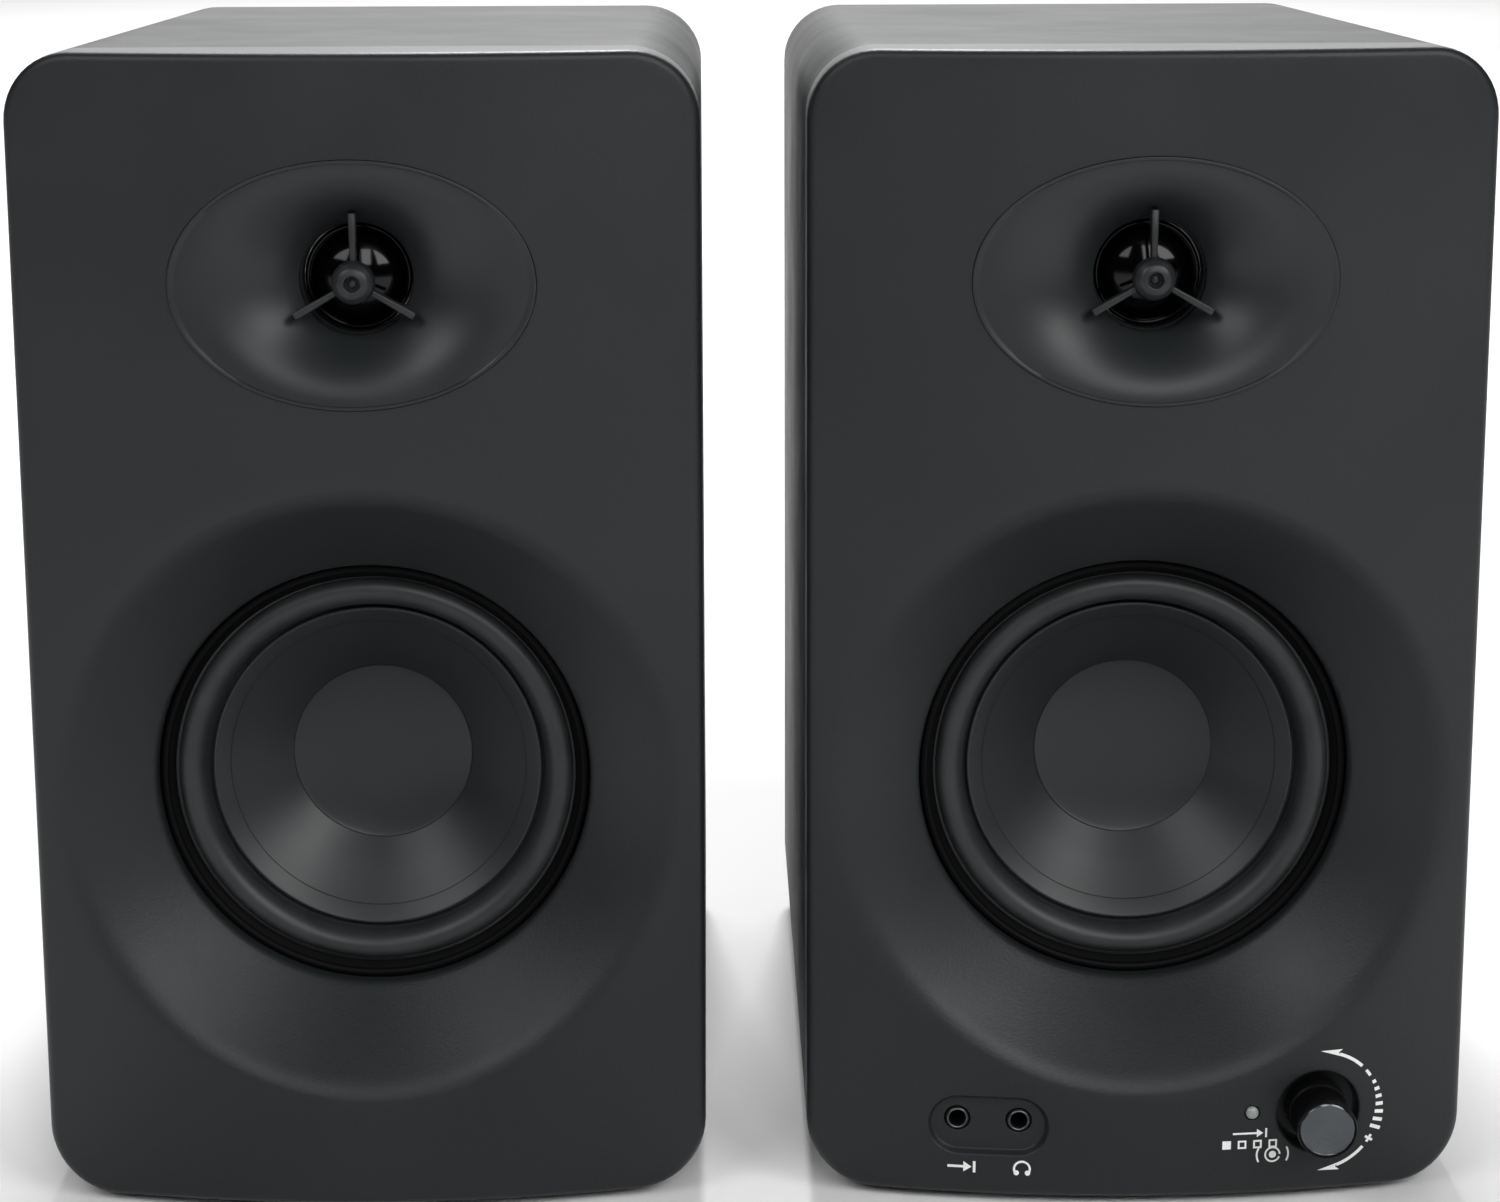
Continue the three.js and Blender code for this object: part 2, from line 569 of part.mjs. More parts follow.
function statusLed() {
  const face = crownAt(LED_X);
  return turned([[0, face - 0.9], [0.8, face - 0.7], [1.35, face - 0.1], [1.5, face + 0.6], [1.5, face + 6.4],
    [1.7, face + 6.4], [1.7, CONTROL_BOARD_FRONT - GAP], [0, CONTROL_BOARD_FRONT - GAP]], LED_X, LED_HEIGHT, SMALL_ROUND);
}

function controlBoard() {
  return block(-55, 55, CONTROL_BOARD_FRONT, CONTROL_BOARD_FRONT + 1.6, 11, 24.6);
}

function encoderBody() {
  const back = CONTROL_BOARD_FRONT - GAP;
  const can = block(KNOB_X - 6, KNOB_X + 6, 0.6, back, KNOB_HEIGHT - 6, KNOB_HEIGHT + 6);
  return cut(can,
    disc(3.4, -FAR, 3, KNOB_X, KNOB_HEIGHT, SMALL_ROUND),
    disc(5.1, 1.6, 5.8, KNOB_X, KNOB_HEIGHT, SMALL_ROUND));
}

const encoderRotor = () => ring(3.4, 4.7, 2, 5.3, KNOB_X, KNOB_HEIGHT, SMALL_ROUND);

const KNOB_FRONT = crownAt(KNOB_X) - KNOB_PROUD;

const encoderShaft = () => cut(disc(3, KNOB_FRONT + 4.4, 4.4, KNOB_X, KNOB_HEIGHT, SMALL_ROUND),
  block(KNOB_X - 4, KNOB_X + 4, KNOB_FRONT, -6, KNOB_HEIGHT + 1.6, KNOB_HEIGHT + 4));

// The knob ends a little short of the floor of its recess, which leaves room for the push.
const KNOB_BACK = crownAt(KNOB_X) + KNOB_RECESS_DEPTH - 1.4;

const volumeKnob = () => turned([[0, KNOB_FRONT], [KNOB_RADIUS - 0.7, KNOB_FRONT],
  [KNOB_RADIUS - 0.2, KNOB_FRONT + 0.5], [KNOB_RADIUS, KNOB_BACK - 3], [KNOB_RADIUS, KNOB_BACK],
  [3.3, KNOB_BACK], [3.3, KNOB_FRONT + 4.1], [0, KNOB_FRONT + 4.1]], KNOB_X, KNOB_HEIGHT);

// ---- assembly ----

function place(group, name, body, material) {
  const mesh = new THREE.Mesh(geometryOf(body), material);
  mesh.name = name;
  group.add(mesh);
}

function speaker(side, powered) {
  const group = new THREE.Group();
  const add = (name, body, material) => place(group, `${side}_${name}`, body, material);
  add('cabinet', cabinet(powered), charcoalVinyl);
  add('front_baffle', frontBaffle(powered), charcoalPlastic);
  add('waveguide', waveguide(), satinPlastic);
  add('phase_plug', phasePlug(), satinPlastic);
  add('tweeter_dome', tweeterDome(), glossBlack);
  add('tweeter_ring', tweeterRing(), blackPlastic);
  add('tweeter_motor', tweeterMotor(), zincSteel);
  add('woofer_trim', wooferTrim(), blackPlastic);
  add('woofer_surround', wooferSurround(), rubber);
  add('woofer_cone', wooferCone(), conePaper);
  add('dust_cap', dustCap(), conePaper);
  add('voice_coil', voiceCoil(), copperCoil);
  add('spider', spider(), spiderCloth);
  add('woofer_basket', wooferBasket(), blackSteel);
  add('woofer_magnet', wooferMagnet(), ferrite);
  add('woofer_yoke', wooferYoke(), zincSteel);
  add('port_tube', portTube(), blackPlastic);
  add('foot_front', footStrip(34), rubber);
  add('foot_rear', footStrip(188), rubber);
  return { group, add };
}

function unpoweredSpeaker() {
  const { group, add } = speaker('left', false);
  add('terminal_cup', terminalCup(), blackPlastic);
  add('crossover_board', crossoverBoard(), boardGreen);
  add('clip_lever_red', clipLever(-LEVER_PITCH / 2, CUP_CLIP_HEIGHT, CUP_FACE), redPlastic);
  add('clip_lever_black', clipLever(LEVER_PITCH / 2, CUP_CLIP_HEIGHT, CUP_FACE), blackPlastic);
  return group;
}

function poweredSpeaker() {
  const { group, add } = speaker('right', true);
  add('amp_panel', ampPanel(), blackAluminium);
  add('amp_board', ampBoard(), boardGreen);
  add('transformer', transformer(), blackSteel);
  add('mains_inlet', mainsInlet(), blackPlastic);
  add('switch_body', switchBody(), blackPlastic);
  add('power_rocker', powerRocker(), glossBlack);
  add('terminal_block', terminalBlock(), blackPlastic);
  add('clip_lever_red', clipLever(BLOCK_X - LEVER_PITCH / 2, BLOCK_HEIGHT + 4, BLOCK_FACE), redPlastic);
  add('clip_lever_black', clipLever(BLOCK_X + LEVER_PITCH / 2, BLOCK_HEIGHT + 4, BLOCK_FACE), blackPlastic);
  add('aux_socket', jackSocket(AUX_X), nickel);
  add('headphone_socket', jackSocket(AUX_X + JACK_PITCH), nickel);
  add('status_led', statusLed(), milkyLens);
  add('control_board', controlBoard(), boardGreen);
  add('encoder_body', encoderBody(), zincSteel);
  add('encoder_rotor', encoderRotor(), blackPlastic);
  add('encoder_shaft', encoderShaft(), nickel);
  add('volume_knob', volumeKnob(), spunMetal);
  return group;
}

const pair = new THREE.Group();
const left = unpoweredSpeaker();
const right = poweredSpeaker();
left.position.x = -SPACING / 2;
right.position.x = SPACING / 2;
pair.add(left, right);

// Move the pair so that the origin is the middle of its footprint.
const box = new THREE.Box3().setFromObject(pair);
const middle = box.getCenter(new THREE.Vector3());
left.position.sub(new THREE.Vector3(middle.x, middle.y, 0));
right.position.sub(new THREE.Vector3(middle.x, middle.y, 0));

export default pair;
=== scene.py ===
"""The looks of a pair of two-way desktop monitors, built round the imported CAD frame.

Shapes are drawn in millimetres inside one speaker, x across it, y its depth and z its height above the
surface, as the CAD source does, and place() moves them to the row frame in metres.
"""
import json
from math import asin, cos, hypot, pi, radians, sin, sqrt, tan

import bmesh
import bpy
import numpy as np
from mathutils import Matrix, Vector
from mathutils.geometry import delaunay_2d_cdt

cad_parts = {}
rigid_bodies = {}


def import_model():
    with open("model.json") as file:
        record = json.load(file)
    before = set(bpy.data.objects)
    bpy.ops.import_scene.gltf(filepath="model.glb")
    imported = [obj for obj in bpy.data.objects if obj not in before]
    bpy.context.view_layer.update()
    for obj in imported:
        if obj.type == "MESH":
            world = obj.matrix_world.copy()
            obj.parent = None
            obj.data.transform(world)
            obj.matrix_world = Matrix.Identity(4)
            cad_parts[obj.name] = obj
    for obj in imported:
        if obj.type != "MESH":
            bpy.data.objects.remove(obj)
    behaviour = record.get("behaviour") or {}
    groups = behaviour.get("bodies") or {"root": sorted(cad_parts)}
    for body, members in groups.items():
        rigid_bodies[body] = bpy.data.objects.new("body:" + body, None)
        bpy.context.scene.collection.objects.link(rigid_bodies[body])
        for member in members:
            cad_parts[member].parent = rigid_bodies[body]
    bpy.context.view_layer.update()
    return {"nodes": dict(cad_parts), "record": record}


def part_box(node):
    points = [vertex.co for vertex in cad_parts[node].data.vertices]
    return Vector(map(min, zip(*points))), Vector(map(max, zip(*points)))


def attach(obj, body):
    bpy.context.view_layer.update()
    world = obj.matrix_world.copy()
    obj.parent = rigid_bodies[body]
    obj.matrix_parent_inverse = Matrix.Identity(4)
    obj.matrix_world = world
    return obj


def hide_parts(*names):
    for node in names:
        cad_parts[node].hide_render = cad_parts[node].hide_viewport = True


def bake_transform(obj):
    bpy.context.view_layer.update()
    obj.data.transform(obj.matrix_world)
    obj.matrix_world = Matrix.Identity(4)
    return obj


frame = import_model()

# ---- sizes, in millimetres ----

MM = 0.001
WIDTH = 152
HEIGHT = 263
DEPTH = 205
FEET = 2
CORNER = 15.5
CROWN = 10.5           # how far the front bows out at its middle
GAP = 0.3
MIDDLE = FEET + HEIGHT / 2

SKIRT = 14             # depth of the front moulding at its sides
WALL = 4
BOARD = 9              # cabinet wall
EDGE = 2.0             # rounding of the front moulding's outer edge
FACET = 160            # sides of the horn and its hole

WOOFER_Z = 98
DISH_RADIUS = 70
DISH_FLOOR = 10.2
DISH_LIP = 0.16        # how soft the dish's outer edge is, as a share of its slope
DRIVER_HOLE = 49.8
DRIVER_EDGE = 0.8      # rounding of the hole's edge
WOOFER_SIDES = 192
SEAT_OUTER = 71.2      # the thick part of the moulding behind the dish
SEAT_BORE = 54
LEDGE_FRONT = 18.5     # the ledge that the woofer is screwed to
LEDGE_BACK = 22
LEDGE_BORE = 45.3

TWEETER_Z = 214.7
HORN_A = 40
HORN_B = 27.2
THROAT = 12.7
THROAT_DEPTH = 2
HORN_BACK = 4.3
HORN_FLARE = 2.1
HORN_PROUD = 0.4       # how far the horn's rim stands in front of the moulding
HORN_SEAM = 0.06
HORN_HOLE_EDGE = 0.08
BOSS_BACK = 6

PORT_Z = 217
PORT_BORE = 19
PORT_OUTER = 21
PORT_FRONT = 118

KNOB_X = 41.6
KNOB_Z = 21.6
KNOB_RADIUS = 7
KNOB_PROUD = 11
KNOB_RECESS = 9.6
KNOB_EDGE = 0.7
WELL_DEPTH = 5.4
JACK_Z = 20.1
JACK_X = (-41.5, -27.5)
JACK_HOLE = 2.95
JACK_EDGE = 0.3
STADIUM = (28, 14.6, -34.5, 19.1)  # width, height and centre of the recess round the sockets
STADIUM_DEPTH = 1.6
STADIUM_SLOPE = 1.3    # width of its sloping side
LED_X = 26
LED_Z = 22.1
LED_HOLE = 1.8
LED_EDGE = 0.25

PANEL_FACE = 207.8
PANEL_Z = 93
BLOCK_FACE = 209.8
CUP_FACE = 202
CUP_Z = 70
INLET_X = -34
INLET_Z = 36
SWITCH_X = 8
BLOCK_Z = 84
BLOCK_X = 32           # middle of the block's pair of levers
BLOCK_MIDDLE = 8
PHONO_X = (-22, -4)
LEVER_PITCH = 15

SIDES = ("left", "right")


def origin_of(side):
    """The speaker's own origin in the row frame, in millimetres, from where its cabinet is."""
    low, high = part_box(f"{side}_cabinet")
    return ((low.x + high.x) / 2 / MM, high.y / MM - DEPTH, low.z / MM - FEET)


ORIGIN = {side: origin_of(side) for side in SIDES}


def crown_at(x):
    return -CROWN * (1 - (2 * x / WIDTH) ** 2)


def added(name, data):
    """A new object in the scene, with this mesh, lamp or camera."""
    made = bpy.data.objects.new(name, data)
    bpy.context.scene.collection.objects.link(made)
    return made


# ---- outlines, as lists of (x, z) points ----


def oval(a, b, x=0.0, z=0.0, count=128):
    turns = [2 * pi * i / count for i in range(count)]
    return [(x + a * cos(t), z + b * sin(t)) for t in turns]


def circle(radius, x=0.0, z=0.0, count=128):
    return oval(radius, radius, x, z, count)


def polar(radius, degrees, x=0.0, z=0.0):
    a = radians(degrees)
    return (x + radius * cos(a), z + radius * sin(a))


def rounded_rect(width, height, radius, x=0.0, z=0.0, steps=8, across=1, up=1):
    """A rectangle with round corners. Its straight sides are divided into across and up parts."""
    points = []
    for sx, sz, start in ((1, 1, 0), (-1, 1, 90), (-1, -1, 180), (1, -1, 270)):
        cx = x + sx * (width / 2 - radius)
        cz = z + sz * (height / 2 - radius)
        if points:
            divide(points, polar(radius, start, cx, cz), up if sx == sz else across)
        points += [polar(radius, start + 90 * i / steps, cx, cz) for i in range(steps + 1)]
    divide(points, points[0], up)
    return points


def divide(points, end, parts):
    """Adds the points between the last one and end that make parts equal lengths."""
    a = points[-1]
    for i in range(1, parts):
        t = i / parts
        points.append((a[0] + (end[0] - a[0]) * t, a[1] + (end[1] - a[1]) * t))


def outline(inset):
    """The speaker's own outline, moved in by inset."""
    radius = max(CORNER - inset, 6.5)
    return rounded_rect(WIDTH - 2 * inset, HEIGHT - 2 * inset, radius, 0, MIDDLE, 12, 60, 80)


def softened(points, radius, steps=5, closed=True):
    """The same line with its corners rounded. radius is one number, or one for each corner."""
    count = len(points)
    radii = radius if isinstance(radius, (list, tuple)) else [radius] * count
    result = []
    for i, point in enumerate(points):
        if not closed and i in (0, count - 1) or radii[i] <= 0:
            result.append(tuple(point))
            continue
        here = Vector(point)
        before = Vector(points[i - 1]) - here
        after = Vector(points[(i + 1) % count]) - here
        turn = pi - before.angle(after, 0)
        reach = min(radii[i] * tan(turn / 2), 0.45 * before.length, 0.45 * after.length)
        start = here + before.normalized() * reach
        end = here + after.normalized() * reach
        for k in range(steps + 1):
            t = k / steps
            result.append(tuple((1 - t) ** 2 * start + 2 * t * (1 - t) * here + t * t * end))
    return result


# ---- shapes, as (vertices, faces) in millimetres ----


def lathe(profile, x=0.0, z=0.0, sides=128, closed=True):
    """A profile of (radius, depth) turned about an axis along y through (x, z)."""
    verts, rows, faces = [], [], []
    for radius, depth in profile:
        ring = circle(radius, x, z, sides) if radius > 1e-6 else [(x, z)]
        rows.append([len(verts) + i for i in range(len(ring))])
        verts += [(px, depth, pz) for px, pz in ring]
    for a, b in zip(rows, rows[1:] + rows[:1] if closed else rows[1:]):
        for j in range(sides):
            k = j + 1
            corners = (a[j % len(a)], a[k % len(a)], b[k % len(b)], b[j % len(b)])
            face = tuple(dict.fromkeys(corners))
            if len(face) > 2:
                faces.append(face)
    return verts, faces


def loft(loops):
    """A closed skin through loops of (x, y, z) points, with flat ends."""
    count = len(loops[0])
    verts = [point for loop in loops for point in loop]
    faces = []
    for i in range(len(loops) - 1):
        for j in range(count):
            k = (j + 1) % count
            faces.append((i * count + j, i * count + k, (i + 1) * count + k, (i + 1) * count + j))
    last = (len(loops) - 1) * count
    faces += [tuple(range(count))[::-1], tuple(range(last, last + count))]
    return verts, faces


def edge_steps(y0, y1, front=0.0, back=0.0, steps=5):
    """(inset, depth) pairs from y0 to y1 that round the two edges."""
    pairs = []
    for i in range(steps + 1 if front else 1):
        a = pi / 2 * i / steps
        pairs.append((front * (1 - sin(a)), y0 + front * (1 - cos(a))))
    for i in range(steps + 1 if back else 1):
        a = pi / 2 * i / steps
        pairs.append((back * (1 - cos(a)), y1 - back * (1 - sin(a))))
    return pairs


def slab(width, height, radius, y0, y1, x=0.0, z=0.0, front=0.0, back=0.0, steps=8):
    """A rounded rectangle made solid between two depths, with rounded edges."""
    loops = []
    for inset, depth in edge_steps(y0, y1, front, back):
        corner = max(radius - inset, 0.05)
        ring = rounded_rect(width - 2 * inset, height - 2 * inset, corner, x, z, steps)
        loops.append([(px, depth, pz) for px, pz in ring])
    return loft(loops)


def prism_x(profile, x0, x1):
    """A closed line of (y, z) points made solid from x0 to x1."""
    return loft([[(x, y, z) for y, z in profile] for x in (x0, x1)])


def block(x0, x1, y0, y1, z0, z1, edge=0.0, segments=3):
    shape = loft([[(x, y0, z0), (x, y1, z0), (x, y1, z1), (x, y0, z1)] for x in (x0, x1)])
    return bevelled(shape, edge, segments) if edge else shape


def together(*shapes):
    verts, faces = [], []
    for points, polygons in shapes:
        start = len(verts)
        verts += points
        faces += [tuple(start + i for i in face) for face in polygons]
    return verts, faces


def moved(shape, x=0.0, y=0.0, z=0.0):
    return [(a + x, b + y, c + z) for a, b, c in shape[0]], shape[1]


def turned_about_y(shape, degrees, x=0.0, z=0.0):
    c, s = cos(radians(degrees)), sin(radians(degrees))
    verts = [(x + c * (a - x) - s * (h - z), b, z + s * (a - x) + c * (h - z)) for a, b, h in shape[0]]
    return verts, shape[1]


def turned_about_x(shape, degrees, y, z):
    c, s = cos(radians(degrees)), sin(radians(degrees))
    verts = [(a, y + c * (b - y) - s * (h - z), z + s * (b - y) + c * (h - z)) for a, b, h in shape[0]]
    return verts, shape[1]


def mesh_from(shape, name="shape"):
    mesh = bpy.data.meshes.new(name)
    mesh.from_pydata(shape[0], [], shape[1])
    tool = bmesh.new()
    tool.from_mesh(mesh)
    bmesh.ops.remove_doubles(tool, verts=tool.verts, dist=1e-5)
    bmesh.ops.recalc_face_normals(tool, faces=tool.faces)
    tool.to_mesh(mesh)
    tool.free()
    return mesh


def shape_of(mesh):
    return [tuple(v.co) for v in mesh.vertices], [tuple(p.vertices) for p in mesh.polygons]


def bevelled(shape, width, segments=3, limit=30):
    """The shape with its sharp edges rounded."""
    mesh = mesh_from(shape)
    tool = bmesh.new()
    tool.from_mesh(mesh)
    sharp = [e for e in tool.edges
             if len(e.link_faces) == 2 and e.calc_face_angle(0) > radians(limit)]
    bmesh.ops.bevel(tool, geom=sharp, offset=width, segments=segments, profile=0.5,
                    affect="EDGES", clamp_overlap=True)
    tool.to_mesh(mesh)
    tool.free()
    result = shape_of(mesh)
    bpy.data.meshes.remove(mesh)
    return result


def combined(base, others, operation):
    """base with the other shapes cut away (DIFFERENCE) or joined to it (UNION)."""
    target = added("target", mesh_from(base))
    tools = bpy.data.collections.new("tools")
    bpy.context.scene.collection.children.link(tools)
    for other in others:
        tools.objects.link(bpy.data.objects.new("tool", mesh_from(other)))
    modifier = target.modifiers.new("combine", "BOOLEAN")
    modifier.operation = operation
    modifier.operand_type = "COLLECTION"
    modifier.collection = tools
    modifier.solver = "EXACT"
    graph = bpy.context.evaluated_depsgraph_get()
    mesh = bpy.data.meshes.new_from_object(target.evaluated_get(graph))
    result = shape_of(mesh)
    bpy.data.meshes.remove(mesh)
    for o in [target, *tools.objects]:
        bpy.data.objects.remove(o)
    bpy.data.collections.remove(tools)
    return result


def cut(base, *others):
    return combined(base, others, "DIFFERENCE")


def union(base, *others):
    return combined(base, others, "UNION")


class Skin:
    """A surface made of closed loops of points, joined by bands or filled between with triangles."""

    def __init__(self):
        self.verts = []
        self.faces = []

    def loop(self, line, depth):
        """Adds a closed line of (x, z) points. depth is a number, or a function of x and z."""
        start = len(self.verts)
        for x, z in line:
            self.verts.append((x, depth(x, z) if callable(depth) else depth, z))
        return list(range(start, len(self.verts)))

    def band(self, *loops):
        for a, b in zip(loops, loops[1:]):
            for i in range(len(a)):
                k = (i + 1) % len(a)
                self.faces.append((a[i], a[k], b[k], b[i]))

    def fill(self, outer, holes=(), depth=None, spacing=0.0):
        """Fills between the outer loop and the holes. With spacing, more points are added inside."""
        rings = [outer, *holes]
        lines = [np.array([(self.verts[i][0], self.verts[i][2]) for i in ring]) for ring in rings]
        index = [i for ring in rings for i in ring]
        flat = np.concatenate(lines)
        edges, start = [], 0
        for ring in rings:
            count = len(ring)
            edges += [(start + i, start + (i + 1) % count) for i in range(count)]
            start += count
        if spacing:
            low, high = lines[0].min(0), lines[0].max(0)
            grid = np.stack(np.meshgrid(np.arange(low[0], high[0], spacing),
                                        np.arange(low[1], high[1], spacing)), -1).reshape(-1, 2)
            grid = grid[inside(grid, lines)]
            near = np.array([((flat - p) ** 2).sum(1).min() for p in grid])
            grid = grid[near > (0.6 * spacing) ** 2]
            for x, z in grid:
                index.append(len(self.verts))
                self.verts.append((x, depth(x, z), z))
            flat = np.concatenate([flat, grid])
        points, _, triangles, source, _, _ = delaunay_2d_cdt(
            [Vector(p) for p in flat], edges, [], 0, 1e-6)
        back = [index[s[0]] for s in source]
        centres = np.array([[sum(points[i][k] for i in t) / 3 for k in (0, 1)] for t in triangles])
        for t, keep in zip(triangles, inside(centres, lines)):
            if keep:
                self.faces.append(tuple(back[i] for i in t))

    def shape(self):
        return self.verts, self.faces


def inside(points, lines):
    """Which points lie inside an odd number of the closed lines."""
    odd = np.zeros(len(points), bool)
    for line in lines:
        after = np.roll(line, -1, 0)
        for (ax, az), (bx, bz) in zip(line, after):
            crosses = (az > points[:, 1]) != (bz > points[:, 1])
            if az != bz:
                odd ^= crosses & (points[:, 0] < ax + (points[:, 1] - az) * (bx - ax) / (bz - az))
    return odd


# ---- materials ----


class Nodes:
    """A material's node tree, with short calls for the nodes that are used here."""

    def __init__(self, name):
        self.material = bpy.data.materials.new(name)
        self.material.use_nodes = True
        self.tree = self.material.node_tree
        self.shader = self.tree.nodes["Principled BSDF"]
        self.place = self.tree.nodes.new("ShaderNodeTexCoord").outputs["Object"]

    def add(self, kind, inputs=None, **settings):
        node = self.tree.nodes.new("ShaderNode" + kind)
        for key, value in settings.items():
            setattr(node, key, value)
        for key, value in (inputs or {}).items():
            self.set(node.inputs[key], value)
        return node

    def set(self, socket, value):
        if isinstance(value, bpy.types.NodeSocket):
            self.tree.links.new(value, socket)
        elif isinstance(value, tuple) and socket.type == "RGBA":
            socket.default_value = (*value, 1.0)[:4]
        else:
            socket.default_value = value

    def noise(self, size_mm, detail=2.0, rough=0.5):
        """A noise pattern with features about size_mm across."""
        return self.add("TexNoise", {"Vector": self.place, "Scale": 1 / (size_mm * MM),
                                     "Detail": detail, "Roughness": rough}).outputs["Fac"]

    def cells(self, size_mm):
        return self.add("TexVoronoi", {"Vector": self.place, "Scale": 1 / (size_mm * MM)}).outputs["Distance"]

    def remap(self, value, low, high, start=0.0, end=1.0):
        return self.add("MapRange", {"Value": value, "From Min": start, "From Max": end,
                                     "To Min": low, "To Max": high}).outputs["Result"]

    def mix(self, factor, a, b):
        node = self.add("Mix", {"Factor": factor}, data_type="RGBA")
        self.set(node.inputs["A"], a)
        self.set(node.inputs["B"], b)
        return node.outputs["Result"]

    def sum(self, a, b, share=1.0):
        return self.add("Math", {0: b, 1: share, 2: a}, operation="MULTIPLY_ADD").outputs[0]

    def bump(self, height, depth_mm, strength):
        inputs = {"Height": height, "Distance": depth_mm * MM, "Strength": strength}
        return self.add("Bump", inputs).outputs["Normal"]

    def finish(self, **inputs):
        for key, value in inputs.items():
            self.set(self.shader.inputs[key.replace("_", " ")], value)
        return self.material


def tinted(colour, share):
    return tuple(c * share for c in colour)


def moulded(name, colour, roughness, grain_mm, grain_depth, spread, specular=0.2, mottle=0.12):
    """Textured plastic: a fine pebble, slow changes of sheen, and paler specks where the grain stands
    highest.
    """
    n = Nodes(name)
    pebble = n.cells(grain_mm * 1.6)
    grain = n.sum(n.noise(grain_mm, 3.0, 0.6), pebble, 0.7)
    cloud = n.noise(38, 3.0, 0.55)
    fine = n.noise(1.3, 2.0, 0.5)
    shade = n.mix(n.remap(cloud, 0, 1, 0.3, 0.7), tinted(colour, 1 - mottle), tinted(colour, 1 + mottle))
    speck = n.mix(n.remap(grain, 0, 0.35, 0.55, 1.15), shade, tinted(colour, 1.5))
    rough = n.sum(n.remap(cloud, roughness - spread, roughness + spread, 0.3, 0.7), fine, spread)
    return n.finish(Base_Color=speck, Roughness=rough, Specular_IOR_Level=specular,
                    Normal=n.bump(grain, grain_depth, 0.6))


def glossy(name, colour, roughness=0.12, coat=0.6, ripple_mm=6.0, ripple=0.01, specular=0.4):
    """Smooth film or polished plastic, with a slight unevenness and fine dust."""
    n = Nodes(name)
    wave = n.noise(ripple_mm, 2.0, 0.5)
    dust = n.remap(n.noise(0.5, 2.0, 0.6), 0, 1, 0.66, 0.8)
    shade = n.mix(dust, colour, tuple(c + 0.002 for c in colour))
    rough = n.sum(n.remap(wave, roughness * 0.8, roughness * 1.3), dust, 0.2)
    return n.finish(Base_Color=shade, Roughness=rough, Coat_Weight=coat, Coat_Roughness=roughness * 0.7,
                    Specular_IOR_Level=specular, Normal=n.bump(wave, ripple, 0.5))


def metal(name, colour, roughness, grain=(0.15, 0.15, 4.0)):
    """Metal with brush marks; grain is the size of the marks along x, y and z, in millimetres."""
    n = Nodes(name)
    stretched = n.add("Mapping", {"Vector": n.place, "Scale": tuple(1 / (g * MM) for g in grain)})
    marks = n.add("TexNoise", {"Vector": stretched.outputs[0], "Scale": 1.0, "Detail": 4.0}).outputs["Fac"]
    shade = n.mix(marks, tinted(colour, 0.8), tinted(colour, 1.15))
    rough = n.remap(marks, roughness * 0.75, roughness * 1.3)
    return n.finish(Base_Color=shade, Metallic=1.0, Roughness=rough, Normal=n.bump(marks, 0.004, 0.5))


def rubber(name, colour, roughness, specular=0.2):
    """Soft rubber: matte, with a faint bloom and moulding grain."""
    n = Nodes(name)
    bloom = n.noise(9, 3.0, 0.6)
    grain = n.noise(0.25, 2.0, 0.5)
    shade = n.mix(n.remap(bloom, 0, 1, 0.35, 0.7), tinted(colour, 0.85), tinted(colour, 1.25))
    rough = n.remap(bloom, roughness - 0.06, roughness + 0.06)
    return n.finish(Base_Color=shade, Roughness=rough, Specular_IOR_Level=specular,
                    Normal=n.bump(grain, 0.012, 0.5))


def woven(name, colour, pitch_mm):
    """Resin-dipped cloth."""
    n = Nodes(name)
    waves = [n.add("TexWave", {"Vector": n.place, "Scale": 0.16 / (pitch_mm * MM)},
                   bands_direction=axis).outputs["Fac"] for axis in "XZ"]
    weave = n.add("Math", {0: waves[0], 1: waves[1]}, operation="MULTIPLY").outputs[0]
    return n.finish(Base_Color=n.mix(weave, tinted(colour, 0.45), colour), Roughness=0.85,
                    Normal=n.bump(weave, 0.1, 0.8))


def spun_metal(name, colour, roughness, centre):
    """A turned face: fine rings about an axis along y, with the stretched highlight that they give."""
    n = Nodes(name)
    rings_per_metre = 9000.0
    offset = n.add("VectorMath", {0: n.place, 1: centre}, operation="SUBTRACT").outputs[0]
    parts = n.add("SeparateXYZ", {0: offset}).outputs
    flat = n.add("CombineXYZ", {0: parts[0], 1: parts[2]}).outputs[0]
    radius = n.add("VectorMath", {0: flat}, operation="LENGTH").outputs["Value"]
    count = n.add("Math", {0: radius, 1: rings_per_metre}, operation="MULTIPLY").outputs[0]
    rings = n.add("TexNoise", {"W": count, "Scale": 1.0, "Detail": 4.0}, noise_dimensions="1D").outputs["Fac"]
    outward = n.add("VectorMath", {0: offset, 1: (1.0, 0.0, 1.0)}, operation="MULTIPLY").outputs[0]
    shade = n.mix(rings, tinted(colour, 0.7), tinted(colour, 1.2))
    rough = n.remap(rings, roughness * 0.8, roughness * 1.25)
    return n.finish(Base_Color=shade, Metallic=1.0, Roughness=rough, Anisotropic=0.9, Tangent=outward,
                    Normal=n.bump(rings, 0.004, 0.6))


def milky(name, dark, light):
    """A cloudy lens that light goes a little way into."""
    n = Nodes(name)
    haze = n.noise(0.8)
    return n.finish(Base_Color=n.mix(haze, dark, light), Roughness=0.28, Subsurface_Weight=0.4,
                    Subsurface_Radius=(MM, MM, MM), Coat_Weight=0.3, Normal=n.bump(haze, 0.004, 0.5))


